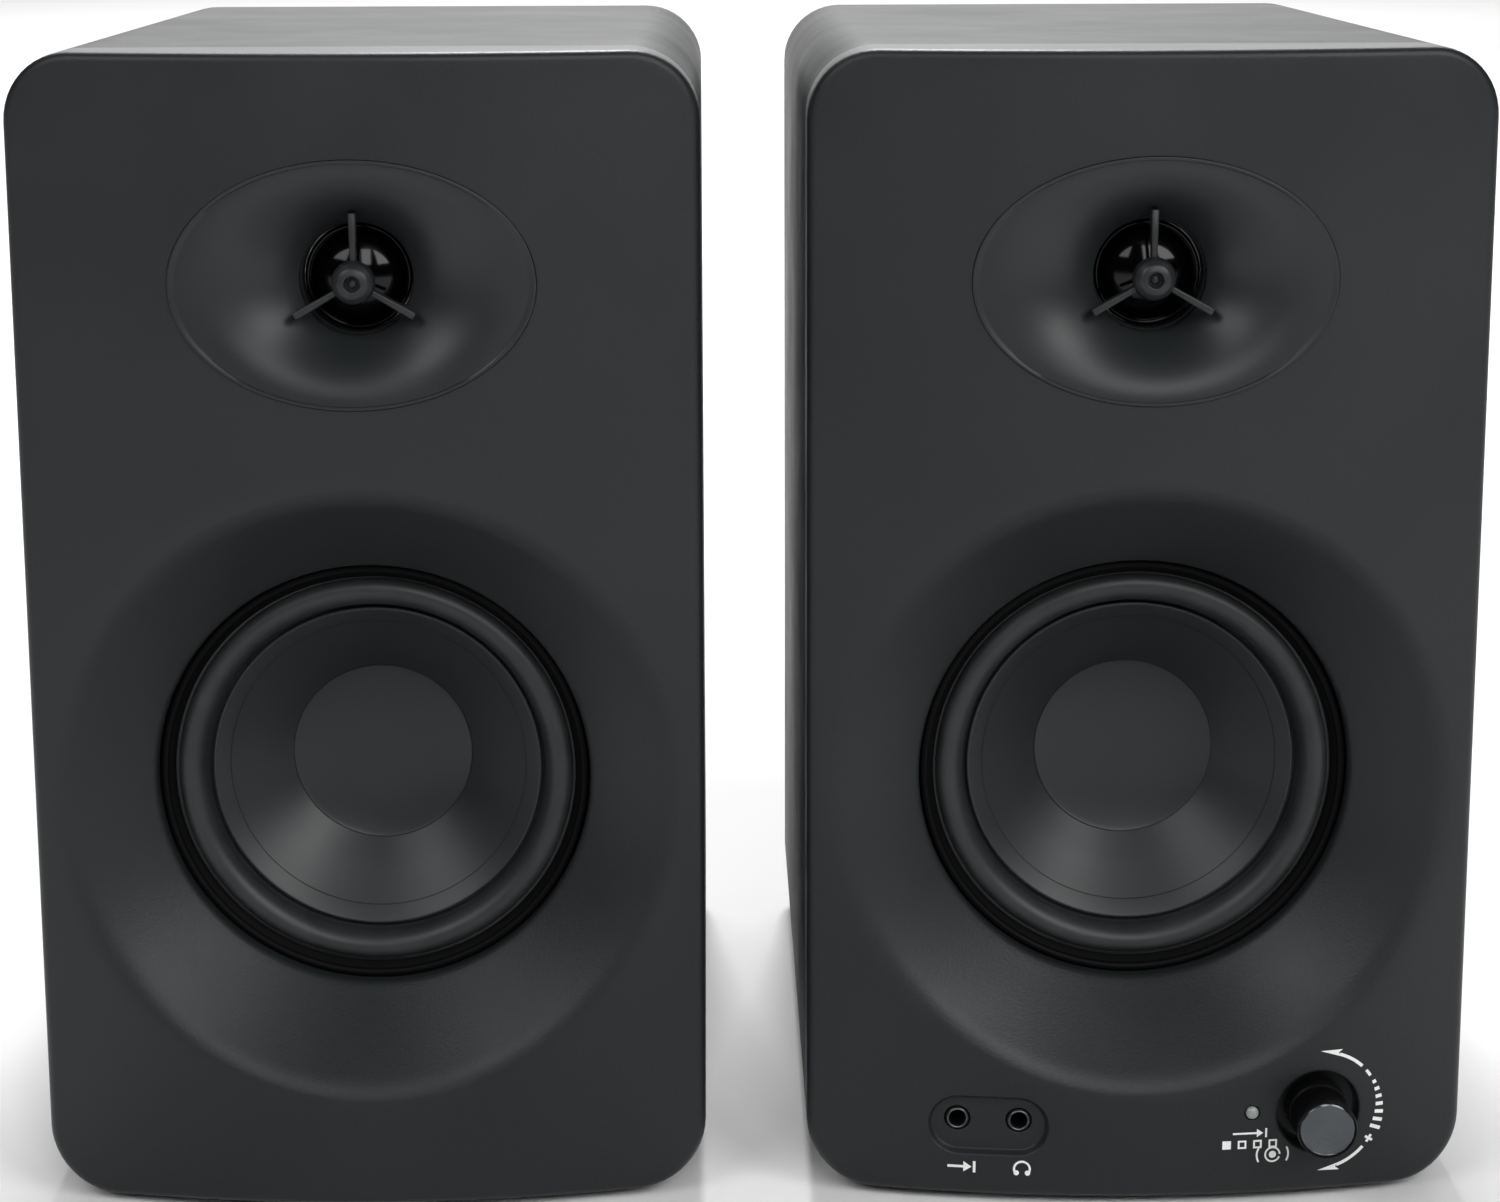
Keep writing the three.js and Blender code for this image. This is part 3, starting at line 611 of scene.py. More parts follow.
def circuit(name, colour):
    """Solder mask with tracks showing through."""
    n = Nodes(name)
    tracks = n.add("TexBrick", {"Vector": n.place, "Scale": 60.0, "Mortar Size": 0.03,
                                "Color1": tinted(colour, 0.8), "Color2": colour,
                                "Mortar": tinted(colour, 2.2)})
    return n.finish(Base_Color=tracks.outputs["Color"], Roughness=0.35, Coat_Weight=0.4,
                    Normal=n.bump(tracks.outputs["Fac"], 0.05, 0.5))


KNOB_AXIS = ((KNOB_X + ORIGIN["right"][0]) * MM, 0.0, (KNOB_Z + ORIGIN["right"][2]) * MM)
FINE_GRAIN = (1.0, 1.0, 1.0)

LOOKS = {
    "cabinet_vinyl": moulded("cabinet vinyl", (0.0120, 0.0140, 0.0150), 0.44, 0.5, 0.018, 0.05, 0.16),
    "baffle_plastic": moulded("front moulding", (0.0104, 0.0126, 0.0136), 0.42, 0.4, 0.05, 0.05, 0.34),
    "horn_plastic": moulded("horn moulding", (0.0095, 0.0114, 0.0124), 0.4, 0.3, 0.005, 0.03, 0.4),
    "dome_film": glossy("dome film", (0.0006, 0.0006, 0.0008), 0.1, 0.0, 3.0, 0.003, 0.24),
    "black_plastic": moulded("black moulding", (0.0045, 0.0048, 0.0052), 0.5, 0.3, 0.008, 0.05),
    "zinc_steel": metal("zinc plate", (0.56, 0.57, 0.58), 0.3),
    "surround_rubber": rubber("surround rubber", (0.0170, 0.0190, 0.0200), 0.45, 0.4),
    "cone_sheet": moulded("cone sheet", (0.0100, 0.0118, 0.0130), 0.4, 0.4, 0.004, 0.03, 0.42),
    "coil_copper": metal("enamelled copper", (0.5, 0.2, 0.09), 0.35, (4.0, 0.3, 4.0)),
    "spider_cloth": woven("spider cloth", (0.45, 0.3, 0.12), 0.6),
    "basket_steel": moulded("basket paint", (0.006, 0.006, 0.0065), 0.45, 0.6, 0.01, 0.05),
    "ferrite": moulded("ferrite", (0.032, 0.032, 0.034), 0.7, 0.25, 0.03, 0.05),
    "foot_rubber": rubber("foot rubber", (0.010, 0.010, 0.011), 0.75),
    "circuit_board": circuit("circuit board", (0.02, 0.12, 0.05)),
    "red_plastic": moulded("red moulding", (0.30, 0.009, 0.009), 0.34, 0.4, 0.006, 0.05, 0.4),
    "panel_aluminium": moulded("anodised panel", (0.008, 0.008, 0.009), 0.42, 0.15, 0.006, 0.04, 0.4),
    "core_steel": metal("core laminations", (0.09, 0.09, 0.09), 0.5, (0.5, 4.0, 4.0)),
    "rocker_plastic": glossy("rocker plastic", (0.005, 0.005, 0.005), 0.16, 0.2),
    "socket_metal": metal("nickel plate", (0.42, 0.42, 0.41), 0.34, FINE_GRAIN),
    "led_lens": milky("milky lens", (0.24, 0.26, 0.25), (0.34, 0.36, 0.35)),
    "knob_metal": spun_metal("spun knob face", (0.14, 0.15, 0.16), 0.26, KNOB_AXIS),
}
DARK_NICKEL = metal("darkened nickel", (0.11, 0.115, 0.12), 0.36, FINE_GRAIN)
INK = moulded("white ink", (0.78, 0.79, 0.78), 0.55, 0.2, 0.004, 0.05, 0.3, 0.03)
KNOB_BLACK = moulded("knob skirt", (0.003, 0.003, 0.0035), 0.3, 0.3, 0.004, 0.04, 0.25)
# painted shade: partly the trim's real matte black, made darker than the other black mouldings so its inner
# slope reads as the shadowed gap round the surround
TRIM_BLACK_AND_GAP_SHADE = moulded("trim ring and painted gap shade", (0.0016, 0.0017, 0.0019), 0.55, 0.25, 0.008, 0.05, 0.08)
WHITE_CORE = moulded("white insulator", (0.62, 0.61, 0.58), 0.4, 0.3, 0.004, 0.04, 0.5)
SCREW_BLACK = metal("blackened screw", (0.03, 0.03, 0.032), 0.42, FINE_GRAIN)


# ---- putting pieces in the scene ----


def place(name, side, shape, slot, body="root", nodes=(), look=None, crease=28):
    """Makes one piece from a shape in the speaker's own millimetres, and puts it on its body."""
    mesh = mesh_from(shape, name)
    mesh.transform(Matrix.Scale(MM, 4) @ Matrix.Translation(ORIGIN[side]))
    mesh.polygons.foreach_set("use_smooth", [True] * len(mesh.polygons))
    mesh.set_sharp_from_angle(angle=radians(crease))
    mesh.materials.append(look or LOOKS[slot])
    piece = added(f"{side}_{name}", mesh)
    if nodes:
        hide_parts(*[f"{side}_{node}" for node in nodes])
    if body:
        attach(piece, body)
    return piece


def instead(name, side, shape, slot, body="root", look=None, crease=28):
    """A piece that is shown in place of the CAD node of the same name."""
    return place(name + "_look", side, shape, slot, body, (name,), look, crease)


def stretch_between(piece):
    """Bakes a ring's placement into its mesh and reads out its vertex positions; the ring is not bent."""
    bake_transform(piece)
    co = np.zeros(len(piece.data.vertices) * 3, np.float32)
    piece.data.vertices.foreach_get("co", co)


# ---- the front moulding ----


def edge_distance(x, z):
    """How far a point is inside the speaker's outline."""
    qx = abs(x) - (WIDTH / 2 - CORNER)
    qz = abs(z - MIDDLE) - (HEIGHT / 2 - CORNER)
    return CORNER - hypot(max(qx, 0), max(qz, 0)) - min(max(qx, qz), 0)


def roll_off(distance, radius):
    """How far a rounded edge falls away at a distance in from it."""
    d = min(max(distance, 0), radius)
    return radius - sqrt(max(radius ** 2 - (radius - d) ** 2, 0))


def dish_share(radius):
    """0 at the dish's floor and 1 on the face, with a soft lip between."""
    s = (radius - DRIVER_HOLE) / (DISH_RADIUS - DRIVER_HOLE)
    bend = max(DISH_LIP - abs(s - 1), 0) / DISH_LIP
    return min(s, 1) - bend ** 2 * DISH_LIP / 4


def oval_distance(x, z, a, b):
    """About how far a point is outside an ellipse round the tweeter."""
    reach = hypot(x / a, (z - TWEETER_Z) / b)
    slope = hypot(x / a ** 2, (z - TWEETER_Z) / b ** 2) / max(reach, 1e-6)
    return (reach - 1) / max(slope, 1e-6)


def stadium_distance(x, z):
    """How far a point is inside the recess round the sockets."""
    width, height, cx, cz = STADIUM
    reach = width / 2 - height / 2
    return height / 2 - hypot(max(abs(x - cx) - reach, 0), z - cz)


def smooth(t):
    t = min(max(t, 0), 1)
    return t * t * (3 - 2 * t)


def face_depth(powered):
    """The depth of the moulding's front surface, as a function of x and z."""
    def depth(x, z):
        y = crown_at(x)
        from_axis = hypot(x, z - WOOFER_Z)
        y = DISH_FLOOR + (y - DISH_FLOOR) * dish_share(from_axis)
        y += roll_off(edge_distance(x, z), EDGE)
        y += roll_off(from_axis - DRIVER_HOLE, DRIVER_EDGE)
        y += roll_off(oval_distance(x, z, HORN_A + GAP, HORN_B + GAP), HORN_HOLE_EDGE)
        if powered:
            y += roll_off(hypot(x - KNOB_X, z - KNOB_Z) - KNOB_RECESS, KNOB_EDGE)
            y += roll_off(hypot(x - LED_X, z - LED_Z) - LED_HOLE, LED_EDGE)
            y += STADIUM_DEPTH * smooth(stadium_distance(x, z) / STADIUM_SLOPE)
            for jack in JACK_X:
                y += roll_off(hypot(x - jack, z - JACK_Z) - JACK_HOLE, JACK_EDGE)
        return y
    return depth


def ring_steps(radius, parts=4):
    """Distances from an edge that resolve its rounding."""
    return [radius * (1 - cos(pi / 2 * i / parts)) for i in range(parts + 1)]


def front_moulding(powered):
    skin = Skin()
    face = face_depth(powered)

    def back(x, z):
        return crown_at(x) + WALL

    def mouth(edge, beyond, line_at):
        """Loops on the face over the rounded edge of a hole, and then further out from it."""
        loops = [skin.loop(line_at(d), face) for d in [*ring_steps(edge), *beyond]]
        skin.band(*loops)
        return loops

    def circles(x, z, sides, pairs):
        return [skin.loop(circle(radius, x, z, sides), depth) for radius, depth in pairs]

    rims = [skin.loop(outline(d), face) for d in [*ring_steps(EDGE, 6), 3.2]]
    skin.band(*rims)
    dish = mouth(DRIVER_EDGE, [0.9 * i for i in range(2, 25)],
                 lambda d: circle(DRIVER_HOLE + d, 0, WOOFER_Z, WOOFER_SIDES))
    horn_hole = mouth(HORN_HOLE_EDGE, (0.5, 1.2),
                      lambda d: oval(HORN_A + GAP + d, HORN_B + GAP + d, 0, TWEETER_Z, FACET))

    skirt = [skin.loop(outline(inset), depth) for inset, depth in
             ((0, SKIRT - 0.4), (0.12, SKIRT - 0.12), (0.4, SKIRT), (WALL, SKIRT), (WALL, back))]
    skin.band(rims[0], *skirt)
    seat = circles(0, WOOFER_Z, WOOFER_SIDES, (
        (SEAT_OUTER, back), (SEAT_OUTER, SKIRT), (SEAT_BORE, SKIRT), (SEAT_BORE, LEDGE_BACK),
        (LEDGE_BORE, LEDGE_BACK), (LEDGE_BORE, LEDGE_FRONT), (DRIVER_HOLE, LEDGE_FRONT)))
    skin.band(*seat, dish[0])
    boss = [skin.loop(oval(HORN_A + d, HORN_B + d, 0, TWEETER_Z, FACET), depth)
            for d, depth in ((4, back), (4, BOSS_BACK), (GAP, BOSS_BACK))]
    skin.band(*boss, horn_hole[0])

    front_holes, back_holes = [dish[-1], horn_hole[-1]], [seat[0], boss[0]]
    if powered:
        floor = crown_at(KNOB_X) + WELL_DEPTH
        knob = mouth(KNOB_EDGE, (1.4,), lambda d: circle(KNOB_RECESS + d, KNOB_X, KNOB_Z, 96))
        well = circles(KNOB_X, KNOB_Z, 96, (
            (12, back), (12, 0.3), (3.6, 0.3), (3.6, floor), (8.8, floor), (9.2, floor - 0.15),
            (KNOB_RECESS, floor - 0.6)))
        skin.band(*well, knob[0])
        lamp = mouth(LED_EDGE, (0.6,), lambda d: circle(LED_HOLE + d, LED_X, LED_Z, 32))
        lamp_back = skin.loop(circle(LED_HOLE, LED_X, LED_Z, 32), back)
        skin.band(lamp_back, lamp[0])
        width, height, cx, cz = STADIUM
        slope = []
        for d in (-0.3, *[STADIUM_SLOPE * i / 10 for i in range(11)], 1.6):
            line = rounded_rect(width - 2 * d, height - 2 * d, height / 2 - d - 0.001, cx, cz, 14, 8)
            slope.append(skin.loop(line, face))
        skin.band(*slope)
        sockets = []
        for jack in JACK_X:
            rings = mouth(JACK_EDGE, (0.6,), lambda d: circle(JACK_HOLE + d, jack, JACK_Z, 48))
            jack_back = skin.loop(circle(JACK_HOLE, jack, JACK_Z, 48), back)
            skin.band(jack_back, rings[0])
            sockets.append(rings[-1])
            back_holes.append(jack_back)
        skin.fill(slope[-1], sockets, face, 2.0)
        front_holes += [knob[-1], lamp[-1], slope[0]]
        back_holes += [well[0], lamp_back]
    skin.fill(rims[-1], front_holes, face, 2.4)
    skin.fill(skirt[-1], back_holes, back, 8.0)
    return skin.shape()


def cabinet(powered):
    skin = Skin()
    outer = [skin.loop(outline(inset), depth)
             for inset, depth in edge_steps(SKIRT + GAP, DEPTH, 0.35, 1.2)]
    skin.band(*outer)
    inner = [skin.loop(outline(BOARD), depth) for depth in (SKIRT + GAP, DEPTH - BOARD)]
    skin.band(outer[0], *inner)
    holes = [circle(PORT_OUTER + 0.4, 0, PORT_Z, 96)]
    holes.append(rounded_rect(104, 136, 4, 0, PANEL_Z) if powered else rounded_rect(61, 49, 4, 0, CUP_Z))
    near = [skin.loop(hole, DEPTH) for hole in holes]
    far = [skin.loop(hole, DEPTH - BOARD) for hole in holes]
    for a, b in zip(near, far):
        skin.band(a, b)
    skin.fill(outer[-1], near)
    skin.fill(inner[-1], far)
    return skin.shape()


# ---- the tweeter ----


def horn():
    """The elliptical horn: a shallow rim that turns down into the round throat."""
    skin = Skin()

    def ring(a, b, depth):
        return skin.loop(oval(a, b, 0, TWEETER_Z, FACET), depth)

    def at(step, shift=0.0):
        """The loop at a share of the way from the rim to the throat."""
        def depth(x, z):
            start = crown_at(x)
            return start + (THROAT_DEPTH - start) * step ** HORN_FLARE + shift
        return ring(HORN_A + (THROAT - HORN_A) * step, HORN_B + (THROAT - HORN_B) * step, depth)

    wide = GAP - HORN_SEAM
    rim = [ring(HORN_A + wide, HORN_B + wide, lambda x, z: crown_at(x) + 1.0)]
    for inset, share in ((0, 0.3), (0.02, 0.62), (0.1, 0.88), (0.28, 1.0), (wide + 0.5, 0.75)):
        grow = wide - inset
        rim.append(ring(HORN_A + grow, HORN_B + grow, lambda x, z: crown_at(x) - HORN_PROUD * share))
    flare = [at(0.04 + 0.96 * (i / 44)) for i in range(45)]
    throat = [ring(THROAT, THROAT, HORN_BACK), ring(THROAT + 8, THROAT + 7, HORN_BACK)]
    rear = [at(0.5, 3), at(0.12, 3), at(0, 5)]
    skin.band(*rim, *flare, *throat, *rear, rim[0])
    return skin.shape()


def plug():
    """The phase plug: a small bullet with a dimple, on three arms."""
    line = [(0, -6.6), (0.7, -6.4), (1.45, -5.9), (1.8, -7.9), (3.3, -7.4),
            (4.5, -6.1), (4.9, -4.3), (4.4, -2.2), (3.1, -0.8), (0, -0.2)]
    bullet = lathe(softened(line, [0, 0.3, 0.3, 0.4, 1.6, 1.8, 2.0, 1.8, 1.2, 0], 4), 0, TWEETER_Z, 64)
    arms = []
    for angle in (90, 210, 330):
        loops = []
        for reach, width, depth in ((3, 1.3, 2.5), (8, 1.45, 2.7), (15.0, 1.75, 2.9), (15.2, 1.5, 2.6)):
            ring = rounded_rect(depth, width, 0.42, -3.2, 0, 4)
            loops.append([(reach, y, TWEETER_Z + w) for y, w in ring])
        arms.append(turned_about_y(loft(loops), angle, 0, TWEETER_Z))
    return union(bullet, *arms)


def dome_line(radius, apex, edge, steps=16):
    """Points from the axis out along a shallow dome."""
    height = edge - apex
    sphere = (radius ** 2 + height ** 2) / (2 * height)
    half = asin(radius / sphere)
    return [(sphere * sin(half * i / steps), apex + sphere * (1 - cos(half * i / steps)))
            for i in range(steps + 1)]


def tweeter_dome():
    outside = dome_line(10.7, 2.4, 7.1)
    roll = [(11.3 + 0.6 * cos(a), 7.3 - 0.55 * sin(a)) for a in np.linspace(pi, 0, 9)[1:]]
    inside = [(r, y + 0.5) for r, y in dome_line(10.7, 2.5, 7.3)][::-1]
    former = [(11.9, 7.8), (11.6, 7.9), (11.6, 12.4), (11.2, 12.4), (11.2, 8.1)]
    return lathe([*outside, *roll, *former, *inside], 0, TWEETER_Z, 96)


def tweeter_ring():
    line = [(12.2, 4.9), (12.45, 4.6), (22, 4.6), (22, 8.6), (12.2, 8.6)]
    return lathe(softened(line, [0.15, 0.15, 0.3, 0.3, 0.3], 3), 0, TWEETER_Z, 96)


# ---- the woofer ----


def woofer_trim():
    """A thin lip in the woofer's recess, with a slope inside it down to the surround. Its near-black is the
    trim's own matte black, made darker to paint the shade of the deep gap there.
    """
    line = [(49.5, 13.3), (49.1, 12.6), (48.4, 12.4), (47.8, 12.7), (47.5, 13.4), (45.95, 15.15),
            (49.5, 15.15)]
    return lathe(softened(line, 0.3, 4), 0, WOOFER_Z, WOOFER_SIDES)


def woofer_surround():
    """A rubber roll from the cone's edge out to a flat rim, with a foot round the cone."""
    inner, outer, rise, thickness, steps = 39.3, 45.7, 3.7, 0.6, 24
    outer_depth, inner_depth = 15.8, 17.6
    middle, half = (inner + outer) / 2, (outer - inner) / 2

    def arch(grow):
        points = []
        for i in range(steps + 1):
            a = pi * i / steps
            base = outer_depth + (inner_depth - outer_depth) * i / steps
            points.append((middle + (half + grow) * cos(a), base - (rise + grow) * sin(a)))
        return points

    foot_line = [(39.1, 18.1), (38.8, 19.2), (37.9, 19.6), (37.9, 20.0), (39.0, 19.7), (39.6, 18.6)]
    line = [(49.2, 15.4), (47.2, 15.4), (46.4, 15.8), *arch(0), *foot_line, *arch(-thickness)[::-1],
            (46.5, 16.2), (47.3, 15.9), (49.2, 15.9)]
    return lathe(line, 0, WOOFER_Z, WOOFER_SIDES)


def woofer_cone():
    """The cone, with a rolled outer edge and a small step on its way in."""
    line = [(38.3, 18.9), (38.3, 18.05), (37.75, 17.85), (34.5, 20.4), (34.35, 20.62), (27, 26.2), (20, 31.7),
            (13.1, 38.1)]
    front = softened(line, [0, 0.35, 0.6, 0.1, 0.1, 6, 3, 0], 5, False)
    back = [(13.1, 38.6), (13.9, 38.6), (20.6, 32.6), (34.8, 21.9), (38.3, 19.4)]
    return lathe(front + back, 0, WOOFER_Z, WOOFER_SIDES)


def dust_cap():
    """A shallow hollow disc, steepest near its edge, which sits on the cone."""
    middle, rise, steepness = 33.2, 2.5, 2.8
    front = [(20.7 * t, middle - rise * t ** steepness) for t in [i / 28 for i in range(29)]]
    rim = [(20.85, 30.62), (21.0, 30.64), (21.08, 30.8), (21.08, 31.2)]
    back = [(19.6 * t, middle + 0.7 - 0.72 * rise * t ** steepness)
            for t in [i / 14 for i in range(14, -1, -1)]]
    return lathe([*front, *rim, *back], 0, WOOFER_Z, 160)


def spider():
    inner, outer, waves, height, steps = 13.5, 32.4, 5, 0.9, 60
    line = [(inner + (outer - inner) * i / steps, sin(2 * pi * waves * i / steps))
            for i in range(steps + 1)]
    front = [(r, 41.6 + height * w) for r, w in line]
    back = [(r, 42.0 + height * w) for r, w in line][::-1]
    return lathe(front + back, 0, WOOFER_Z, 96)


# ---- backs, feet and fittings ----


def port():
    flare = [(PORT_BORE + 8 * (1 - cos(a)), DEPTH - 9 + 11.0 * sin(a))
             for a in np.linspace(0, pi / 2.35, 12)]
    mouth = [(PORT_BORE, PORT_FRONT + 4), (PORT_BORE + 0.8, PORT_FRONT + 1),
             (PORT_BORE + 2.3, PORT_FRONT), (PORT_BORE + 3.6, PORT_FRONT + 1.6), (PORT_OUTER, PORT_FRONT + 5)]
    rim = [(PORT_OUTER, DEPTH + GAP), (PORT_OUTER + 6, DEPTH + GAP), (PORT_OUTER + 6, DEPTH + 1.2),
           (PORT_OUTER + 5.2, DEPTH + 2.1), (PORT_OUTER + 3.4, DEPTH + 2.4)]
    return lathe([*mouth, *rim, *flare[::-1]], 0, PORT_Z, 128)


def foot(y):
    loops = []
    for inset, depth in edge_steps(0, FEET - 0.02, 0.25, 0.5, 3):
        ring = rounded_rect(112 - 2 * inset, 14 - 2 * inset, 6.9 - inset, 0, 0, 8)
        loops.append([(px, y + pz, depth) for px, pz in ring])
    return loft(loops)


def screw(x, y, z, radius=2.9, height=1.3, turn=0.0):
    """A pan head with a cross recess; y is the face that it sits on, and it faces +y."""
    line = [(0, -0.6), (radius * 0.6, -0.6), (radius * 0.6, 0.0), (radius, 0.0), (radius, height * 0.45),
            (radius * 0.86, height * 0.85), (radius * 0.5, height), (0, height)]
    head = lathe(softened(line, [0, 0, 0, 0.15, 0.35, 0.5, 0.5, 0], 3), 0, 0, 32)
    bars = [block(-a, a, height - 0.8, height + 1, -b, b) for a, b in
            ((radius * 0.52, radius * 0.13), (radius * 0.13, radius * 0.52))]
    return moved(turned_about_y(cut(head, *bars), turn), x, y, z)


def lever(x, z, face):
    """A spring-clip lever: a barrel inside, a flat tab through the slot, and a ribbed lip to press."""
    tab = [(-7.2, -1.7), (4.4, -1.7), (4.6, -4.1), (6.8, -4.1), (6.8, 1.0), (6.1, 1.8), (-7.2, 1.8)]
    pivot, radius, half = -7, 2.35, 4.75
    body = bevelled(prism_x(softened(tab, [0, 0.6, 0.3, 0.9, 0.5, 0.5, 0], 4), -half, half), 0.35, 2, 50)
    turns = np.linspace(0, 2 * pi, 33)[:-1]
    barrel = prism_x([(pivot + radius * cos(a), radius * sin(a)) for a in turns], -half, half)
    ribs = [block(-3.7, 3.7, 6.3, 7.2, h - 0.22, h + 0.22) for h in (-3.2, -2.2, -1.2, -0.2)]
    return moved(cut(union(body, barrel), *ribs), x, face, z)


def clip_tools(x, z, face):
    """Cutters for the slots and wire holes of a pair of levers."""
    tools = []
    for side in (-1, 1):
        middle = x + side * LEVER_PITCH / 2
        tools.append(slab(10.6, 12.2, 0.8, face - 11, face + 1, middle, z - 2.9))
        wire_hole = [(0, -9), (1.7, -9), (1.7, -0.9), (2.6, 0.05), (2.6, 1), (0, 1)]
        tools.append(moved(lathe(wire_hole, middle, z - 12.2, 32), 0, face))
    return tools


def terminal_cup():
    flange = slab(72, 60, 5, DEPTH + GAP, DEPTH + 2.3, 0, CUP_Z, back=0.8)
    body = slab(60, 48, 4, CUP_FACE - 14, DEPTH + 1, 0, CUP_Z)
    loops = []
    for grow, depth in ((-1.6, CUP_FACE), (-0.9, CUP_FACE + 0.15), (-0.4, CUP_FACE + 0.8),
                        (0.4, DEPTH + 1.6), (0.9, DEPTH + 2.1), (1.7, DEPTH + 2.4), (1.7, DEPTH + 6)):
        ring = rounded_rect(50 + 2 * grow, 38 + 2 * grow, 4 + grow, 0, CUP_Z, 8)
        loops.append([(px, depth, pz) for px, pz in ring])
    return cut(union(flange, body), loft(loops), *clip_tools(0, CUP_Z + 3, CUP_FACE))


def amp_panel():
    plate = slab(118, 150, 4, DEPTH + GAP, PANEL_FACE, 0, PANEL_Z, back=0.5)
    fin_pitch = 5.4
    middles = [i * fin_pitch for i in range(-8, 9)]
    fins = [block(x - 1, x + 1, PANEL_FACE - 1, PANEL_FACE + 6, 112, 158, 0.4, 2) for x in middles]
    return cut(union(plate, *fins),
               slab(26.8, 19.8, 1, 190, 230, INLET_X, INLET_Z),
               slab(13.6, 19.8, 1, 190, 230, SWITCH_X, INLET_Z),
               slab(88.8, 30.8, 1, 190, 230, BLOCK_MIDDLE, BLOCK_Z))


def mains_inlet():
    """A three-pin inlet with its two cut corners at the top."""
    flange = slab(31, 24, 3, PANEL_FACE + GAP, PANEL_FACE + 2, INLET_X, INLET_Z, back=0.5)
    body = slab(26, 19, 1, PANEL_FACE - 19, PANEL_FACE + 1, INLET_X, INLET_Z)
    line = [(-11.6, -7.6), (11.6, -7.6), (11.6, 3.6), (7.6, 7.6), (-7.6, 7.6), (-11.6, 3.6)]
    ring = softened(line, 1.0, 4)
    loops = [[(INLET_X + px * share, PANEL_FACE + y, INLET_Z + pz * share) for px, pz in ring]
             for share, y in ((1, -15), (1, 1.5), (1.05, 2.05), (1.05, 5))]
    return cut(union(flange, body), loft(loops))


def inlet_pins():
    """Three flat blades with chamfered ends."""
    pins = []
    for dx, dz in ((-7, -1.5), (0, 2.5), (7, -1.5)):
        x, z = INLET_X + dx, INLET_Z + dz
        loops = [[(x + sx * a, PANEL_FACE + y, z + sz * b) for sx, sz in ((-1, -1), (1, -1), (1, 1), (-1, 1))]
                 for a, b, y in ((1, 2, -15.2), (1, 2, -5.4), (0.5, 1.3, -4.4))]
        pins.append(bevelled(loft(loops), 0.15, 2))
    return together(*pins)


def switch_body():
    flange = slab(16, 22, 2, PANEL_FACE + GAP, PANEL_FACE + 1.8, SWITCH_X, INLET_Z, back=0.5)
    body = slab(12.8, 19, 1, PANEL_FACE - 14, PANEL_FACE + 1, SWITCH_X, INLET_Z)
    return cut(union(flange, body), slab(11.2, 17.4, 0.8, PANEL_FACE - 7, 240, SWITCH_X, INLET_Z))


def rocker_face(z):
    """The rocker's concave outer surface at a height from its pivot."""
    return 1.1 + 1.1 * (z / 8) ** 2


def rocker_tilt(shape):
    """Puts a shape drawn about the rocker's pivot in its place, tipped to one side."""
    pivot = PANEL_FACE + 0.6
    return turned_about_x(moved(shape, SWITCH_X, pivot, INLET_Z), 7, pivot, INLET_Z)


def rocker():
    front = [(rocker_face(z), z) for z in np.linspace(-7.9, 7.9, 17)]
    line = [*front, (-0.6, 8.05), (-3.6, 0), (-0.6, -8.05)]
    return rocker_tilt(bevelled(prism_x(line, -5.2, 5.2), 0.3, 2, 40))


def rocker_marks():
    """A bar for on and a ring for off, raised a little from the rocker."""
    face = rocker_face(4.6)
    on = block(-0.35, 0.35, face - 0.05, face + 0.22, 3.3, 5.9, 0.05, 1)
    line = [(1.0, face - 0.05), (1.55, face - 0.05), (1.55, face + 0.2), (1.0, face + 0.2)]
    return rocker_tilt(together(on, lathe(line, 0, -4.6, 32)))


def terminal_block():
    flange = slab(96, 36, 3, PANEL_FACE + GAP, BLOCK_FACE, BLOCK_MIDDLE, BLOCK_Z, back=0.6)
    body = slab(88, 30, 1, PANEL_FACE - 14, BLOCK_FACE - 0.5, BLOCK_MIDDLE, BLOCK_Z)
    line = [(0, -5), (4.1, -5), (4.1, 1), (0, 1)]
    sockets = [moved(lathe(line, x, BLOCK_Z, 48), 0, BLOCK_FACE) for x in PHONO_X]
    return cut(union(flange, body), *sockets, *clip_tools(BLOCK_X, BLOCK_Z + 4, BLOCK_FACE))


def phono_sleeves():
    """The metal barrels of the two line inputs."""
    line = softened([(3.2, -4.5), (4.0, -4.5), (4.0, 0.4), (5.4, 0.4), (5.4, 1.1), (4.15, 1.3), (4.15, 8.5),
                     (3.2, 8.5)], [0.1, 0, 0, 0.2, 0.2, 0.2, 0.4, 0.3], 3)
    return moved(together(*[lathe(line, x, BLOCK_Z, 64) for x in PHONO_X]), 0, BLOCK_FACE)


def phono_core(x):
    """The coloured insulator inside a line input, with its contact hole."""
    line = softened([(1.65, 1.5), (1.65, 6.6), (1.95, 7.1), (2.75, 7.1), (3.1, 6.6), (3.1, -4.4), (0, -4.4),
                     (0, 1.5)], [0, 0.2, 0.2, 0.3, 0.3, 0, 0, 0], 3)
    return moved(lathe(line, x, BLOCK_Z, 48), 0, BLOCK_FACE)


def jack_body(x):
    """The moulded body of a 3.5 mm socket, with its bore."""
    floor = crown_at(x) + STADIUM_DEPTH
    back = crown_at(x) + WALL + 1.4
    line = [(1.9, 5.4), (1.9, floor + 1.6), (2.5, floor + 1.6), (2.5, floor + 0.1), (2.68, floor + 0.1),
            (2.68, back), (3.9, back), (3.9, 6.7), (0, 6.7), (0, 5.4)]
    return lathe(softened(line, [0, 0, 0, 0, 0.1, 0, 0.3, 0.3, 0, 0], 3), x, JACK_Z, 64)


def jack_collar(x):
    """The metal collar in a socket's mouth, rounded over into the bore."""
    floor = crown_at(x) + STADIUM_DEPTH
    line = [(1.85, floor + 1.55), (1.85, floor + 0.35), (2.0, floor - 0.15),
            (2.25, floor - 0.3), (2.48, floor - 0.1), (2.48, floor + 1.55)]
    return lathe(softened(line, [0, 0.3, 0.15, 0.15, 0.15, 0], 3), x, JACK_Z, 64)


